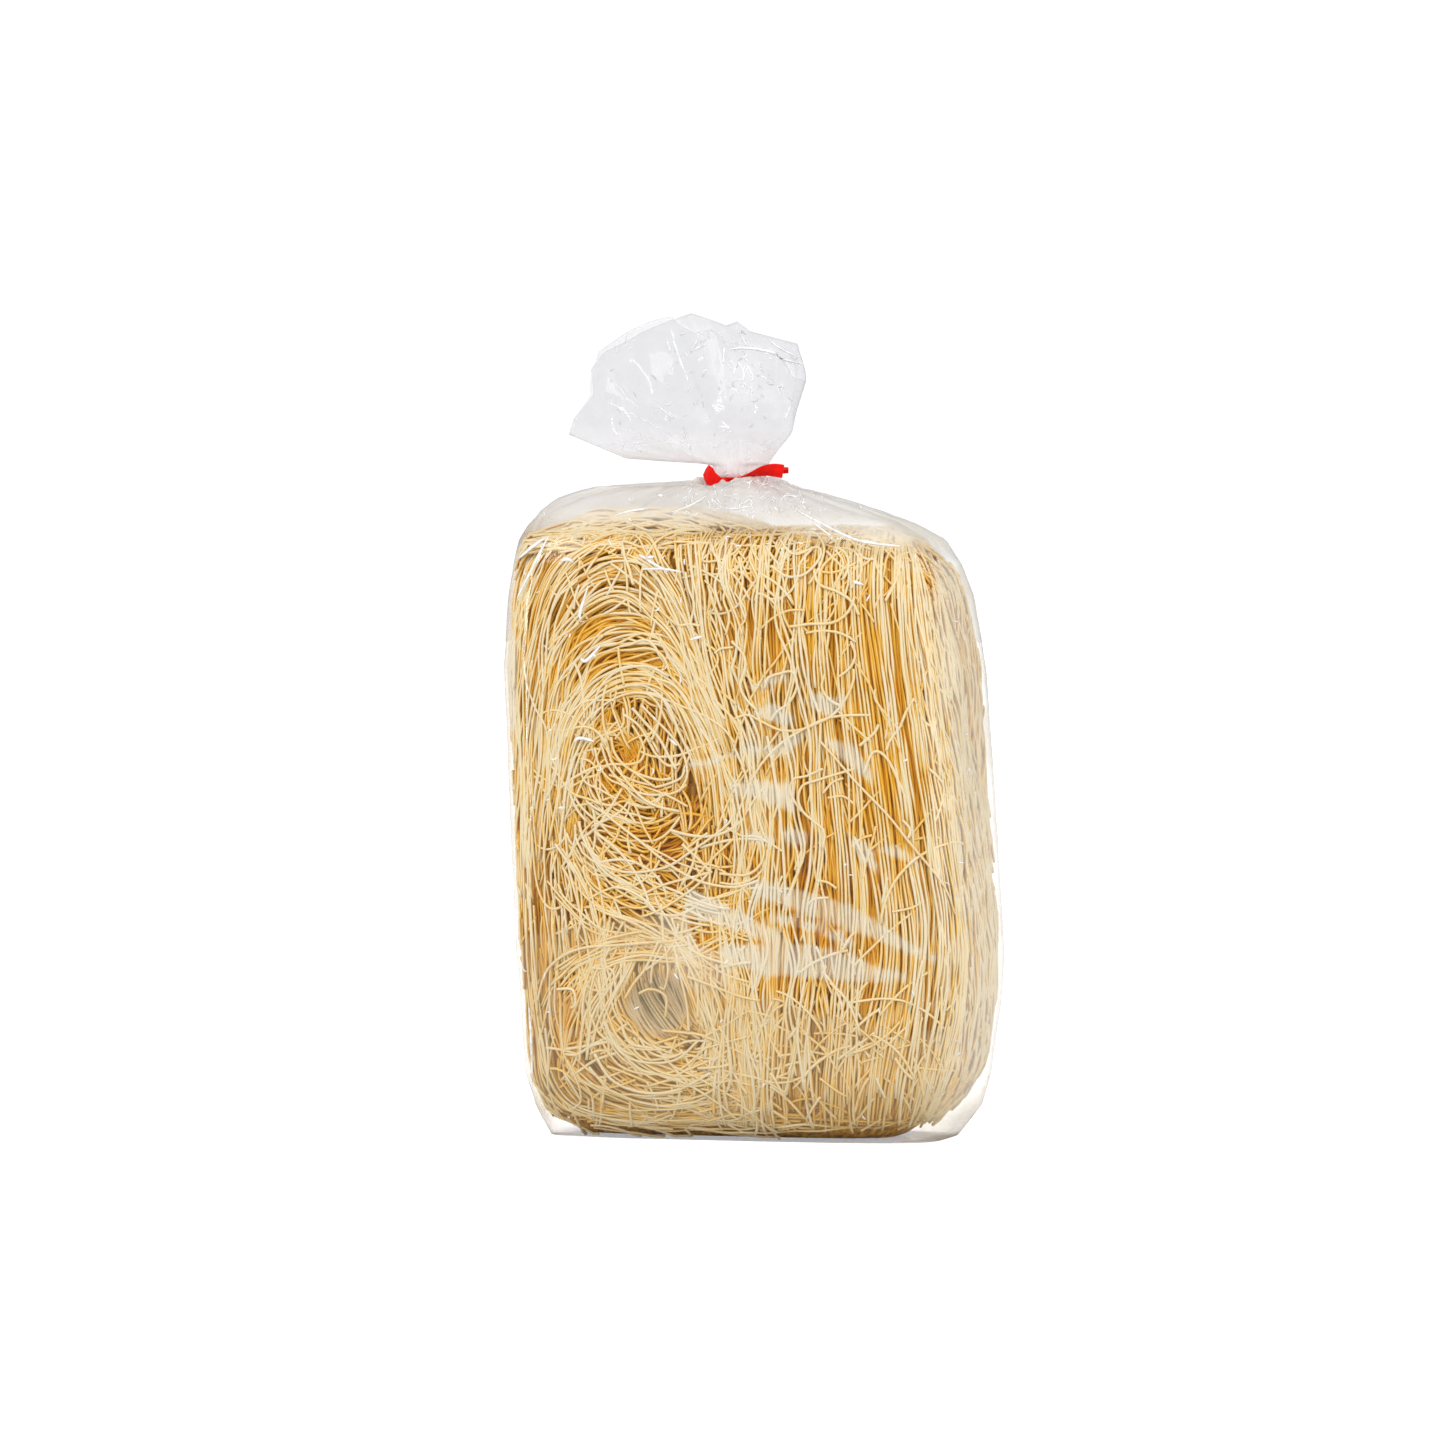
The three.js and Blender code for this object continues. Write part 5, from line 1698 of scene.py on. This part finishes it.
def on_film(tree, path, side):
    """Where a path on the view's plane lies on the film, and which way a glint sliver faces there. It stops
    where the film does."""
    inwards = Vector(-TOWARDS_VIEW) * side
    places, facing = [], []
    for across, up in path * MM:
        # The ray starts well in front of the film.
        start = Vector(VIEW_RIGHT) * across + Vector((0, 0, up)) - inwards * 0.2
        hit, normal, _, _ = tree.ray_cast(start, inwards)
        if hit is None:
            break
        outward = normal if normal.dot(inwards) < 0 else -normal
        places.append(np.array(hit) / MM + np.array(outward) * GLINT_LIFT)
        # A glint sliver is a raised fold, so it turns towards the light in front of it too.
        facing.append(np.array(outward - inwards))
    return places, facing


def film_painted_glints(film, made):
    """Painted highlights: thin white slivers that lie on the film along its creases, and specks between them.
    """
    rng = np.random.default_rng(17)
    bm = bmesh.new()
    bm.from_mesh(film.data)
    tree = BVHTree.FromBMesh(bm)
    bm.free()
    lines = [(width, line, 1) for width, line in PAINTED_GLINTS] + [glint_speck(rng) for _ in range(GLINT_SPECKS)]
    bundles = []
    for width, line, side in lines:
        steps = max(int(way_along(np.array(line))[-1] / GLINT_STEP), 4)
        places, facing = on_film(tree, curve(line, steps), side)
        if len(places) == steps:
            taper = np.sin(np.pi * np.linspace(0.06, 0.94, steps)) ** 0.6
            bundles.append((np.array([places]), np.array([facing]), width / 2 * taper[None]))
    mesh = tube_mesh("film_painted_glints", bundles, (), GLINT_FLATNESS)
    return piece("film_painted_glints", mesh, made, "film")


# ---- the twist tie ----

TIE_WIDTH = 3.2
TIE_THICKNESS = 0.7
TIE_GAP = 0.7  # from the neck out to the band
TIE_HEIGHT = 218  # the middle of the band round the neck
TIE_TILT = math.radians(-3)
TIE_FRONT = -(NECK_RADIUS + 1.6)
TIE_COLUMNS = 96

# The tie as it is seen from the front right: the outline of its folded knot as (across, up), and the
# ribbons as (across, up, how far in front of TIE_FRONT, width, turn from upright).
KNOT = [
    (-14.8, 223), (-13.3, 221.8), (-12.4, 220.2), (-11, 219), (-9, 218.3), (-6.6, 218), (-7.8, 216.9),
    (-10, 215.8), (-11.8, 214.9), (-13.2, 214.2), (-14.9, 215.6), (-16.2, 217.8), (-16.7, 219.6),
    (-15.8, 221.6),
]
RIBBONS = [
    [
        (-9, 217.9, 0.5, 2.6, -0.9), (-6.4, 218, 0.6, 4, -1.35), (-3.2, 218.7, 0.7, 4, -1.45),
        (0, 219.8, 0.6, 4, -1.2), (3.4, 220.8, 0.4, 4.2, -0.75), (7, 221, 0.2, 4.4, -0.2),
        (9.9, 220.6, 0, 4.5, 0),
    ],
    [(5, 220.9, -3, 3, 0), (9, 221, -2.6, 2.4, 0), (11.6, 221, -2.2, 2, 0)],
]


def ribbon_section():
    """The ribbon's cross-section, across its width and thickness, with the wire's ridge in the middle."""
    half, thin = 0.5, 0.28
    ridge = [(-0.14, thin), (-0.08, 0.42), (0, 0.5), (0.08, 0.42), (0.14, thin)]
    upper = [(-half, 0.5 * thin), (-0.44, thin), *ridge, (0.44, thin), (half, 0.5 * thin)]
    return upper + [(x, -y) for x, y in reversed(upper)]


def sweep(places, ups, outs):
    """Rows of ribbon sections, (rows, points, 3); ups and outs span the width and the thickness."""
    section = np.array(ribbon_section())
    return places[:, None] + section[None, :, :1] * ups[:, None] + section[None, :, 1:] * outs[:, None]


def tie_place(across, up, ahead):
    """A place on the view's plane as one at the tie's front, so far ahead of it."""
    y = TIE_FRONT - ahead
    x = (across - y * math.sin(VIEW_TURN)) / math.cos(VIEW_TURN)
    return np.stack(np.broadcast_arrays(x, y, up), axis=-1)


def tie_ribbon(knots, steps=48):
    """A ribbon through the knots, closed at both ends."""
    across, up, ahead, width, turn = curve(knots, steps).T
    places = tie_place(across, up, ahead)
    along = unit(np.gradient(places, axis=0))
    outward = unit(np.cross(along, (0, 0, 1)))
    upward = np.cross(outward, along)
    cos, sin = np.cos(turn)[:, None], np.sin(turn)[:, None]
    broad, thin = upward * cos - outward * sin, outward * cos + upward * sin
    rows = sweep(places, broad * width[:, None], thin * TIE_THICKNESS)
    ends = [np.broadcast_to(row.mean(axis=0), row.shape)[None] for row in (rows[0], rows[-1])]
    return np.concatenate([ends[0], rows, ends[1]])


def tie_knot():
    """The folded knot as a flat pad with rounded edges, closed at its front and back."""
    outline = np.array(KNOT)
    middle = outline.mean(axis=0)
    rows = []
    for share, ahead in ((0, 1.5), (0.45, 1.7), (0.8, 1.4), (1, 0.7), (0.9, 0), (0.5, -0.2), (0, -0.2)):
        ring = lerp(middle, outline, share)
        # A crease runs down the pad, where the ribbon is folded over.
        fold = 0.5 * np.exp(-(((ring[:, 0] + 12.6) / 0.7) ** 2)) * (ahead > 1)
        rows.append(tie_place(ring[:, 0], ring[:, 1], ahead - fold))
    return np.array(rows)


def tie_band():
    """The band round the neck."""
    angle = np.linspace(0, 2 * np.pi, TIE_COLUMNS, endpoint=False)
    out = np.stack([np.cos(angle), np.sin(angle), 0 * angle], axis=-1)
    radius = NECK_RADIUS + TIE_GAP + TIE_THICKNESS / 2
    places = out * radius + (NECK_X, 0, TIE_HEIGHT)
    places[:, 2] -= radius * np.cos(angle) * math.tan(TIE_TILT)
    # Lower at the front, where the film bulges over it.
    places[:, 2] += 0.8 * np.sin(angle)
    upright = np.tile((0, 0, TIE_WIDTH), (TIE_COLUMNS, 1))
    band = np.swapaxes(sweep(places, upright, out * TIE_THICKNESS), 0, 1)
    return np.concatenate([band, band[:1]])


def twist_tie(made):
    """The band, the knot and the ribbons as one piece."""
    bm = bmesh.new()
    for rows in [tie_band(), tie_knot()] + [tie_ribbon(knots) for knots in RIBBONS]:
        part = grid_mesh("part_of_tie", rows)
        bm.from_mesh(part)
        bpy.data.meshes.remove(part)
    bmesh.ops.remove_doubles(bm, verts=bm.verts, dist=SAME_PLACE)
    bmesh.ops.recalc_face_normals(bm, faces=bm.faces)
    return piece("red_twist_tie", finished_mesh("red_twist_tie", bm), made, "tie", "twist_tie")


# ---- stage ----


def studio():
    """A white floor, a white backdrop and four lamps."""
    scene = bpy.context.scene
    bm = bmesh.new()
    bmesh.ops.create_grid(bm, x_segments=1, y_segments=1, size=30)
    mesh = finished_mesh("studio_floor", bm)
    mesh.materials.append(studio_floor())
    floor = bpy.data.objects.new("studio_floor", mesh)
    floor.location.z = -0.2 * MM
    scene.collection.objects.link(floor)

    world = bpy.data.worlds.new("white_studio")
    world.use_nodes = True
    world.node_tree.nodes.clear()
    # The backdrop is white, the walls light the object a little less, and the film mirrors a darker room.
    rays = node(world, "ShaderNodeLightPath").outputs
    level = 1.08
    for ray, strength in (("Is Diffuse Ray", 0.97), ("Is Glossy Ray", 0.3)):
        chosen = node(world, "ShaderNodeMix", {"Factor": rays[ray], "A": level, "B": strength})
        level = chosen.outputs["Result"]
    backdrop = node(world, "ShaderNodeBackground", {"Color": (1, 1, 1, 1), "Strength": level})
    node(world, "ShaderNodeOutputWorld", {"Surface": backdrop.outputs[0]})
    scene.world = world

    aim = Vector((0, 0, 0.12))
    for name, place, width, height, watts in (
        ("key_softbox", (-1.3, -1.3, 1.3), 0.7, 0.9, 8.5),
        ("strip_left", (-1.4, -0.7, 0.5), 0.06, 0.9, 2.5),
        ("fill_right", (1.5, -0.5, 0.5), 0.8, 0.9, 6.3),
        ("strip_top", (0.3, -0.9, 1.7), 0.8, 0.08, 4.5),
    ):
        lamp = bpy.data.lights.new(name, "AREA")
        lamp.shape = "RECTANGLE"
        lamp.size, lamp.size_y = width, height
        lamp.energy = watts
        holder = bpy.data.objects.new(name, lamp)
        holder.location = place
        holder.rotation_euler = (aim - Vector(place)).to_track_quat("-Z", "Y").to_euler()
        scene.collection.objects.link(holder)


def camera():
    """At the height and side that show the front and a little of the right side."""
    elevation, distance = math.radians(1), 2.2
    frame_width, aim_across, aim_up = 0.4817, -0.0102, 0.1372
    target = Vector(VIEW_RIGHT) * aim_across + Vector((0, 0, aim_up))
    back_away = Vector(TOWARDS_VIEW) * math.cos(elevation) + Vector((0, 0, math.sin(elevation)))
    lens = bpy.data.cameras.new("camera")
    lens.lens = lens.sensor_width * distance / frame_width
    holder = bpy.data.objects.new("camera", lens)
    holder.location = target + back_away * distance
    holder.rotation_euler = (-back_away).to_track_quat("-Z", "Y").to_euler()
    bpy.context.scene.collection.objects.link(holder)
    bpy.context.scene.camera = holder


# ---- the whole ----

camera()
studio()
starch = dried_starch()
noodle_core(core_starch_painted_shade())
front_strands(starch)
side_strands(starch)
back_strands(starch)
end_strands(starch)
loose_strands(starch)
film = film_bag(clear_film(), film_inner_face())
film_painted_glints(film, painted_glint_film())
twist_tie(red_ribbon())

bpy.context.scene.view_settings.view_transform = "Standard"
bpy.context.scene.cycles.transparent_max_bounces = 32
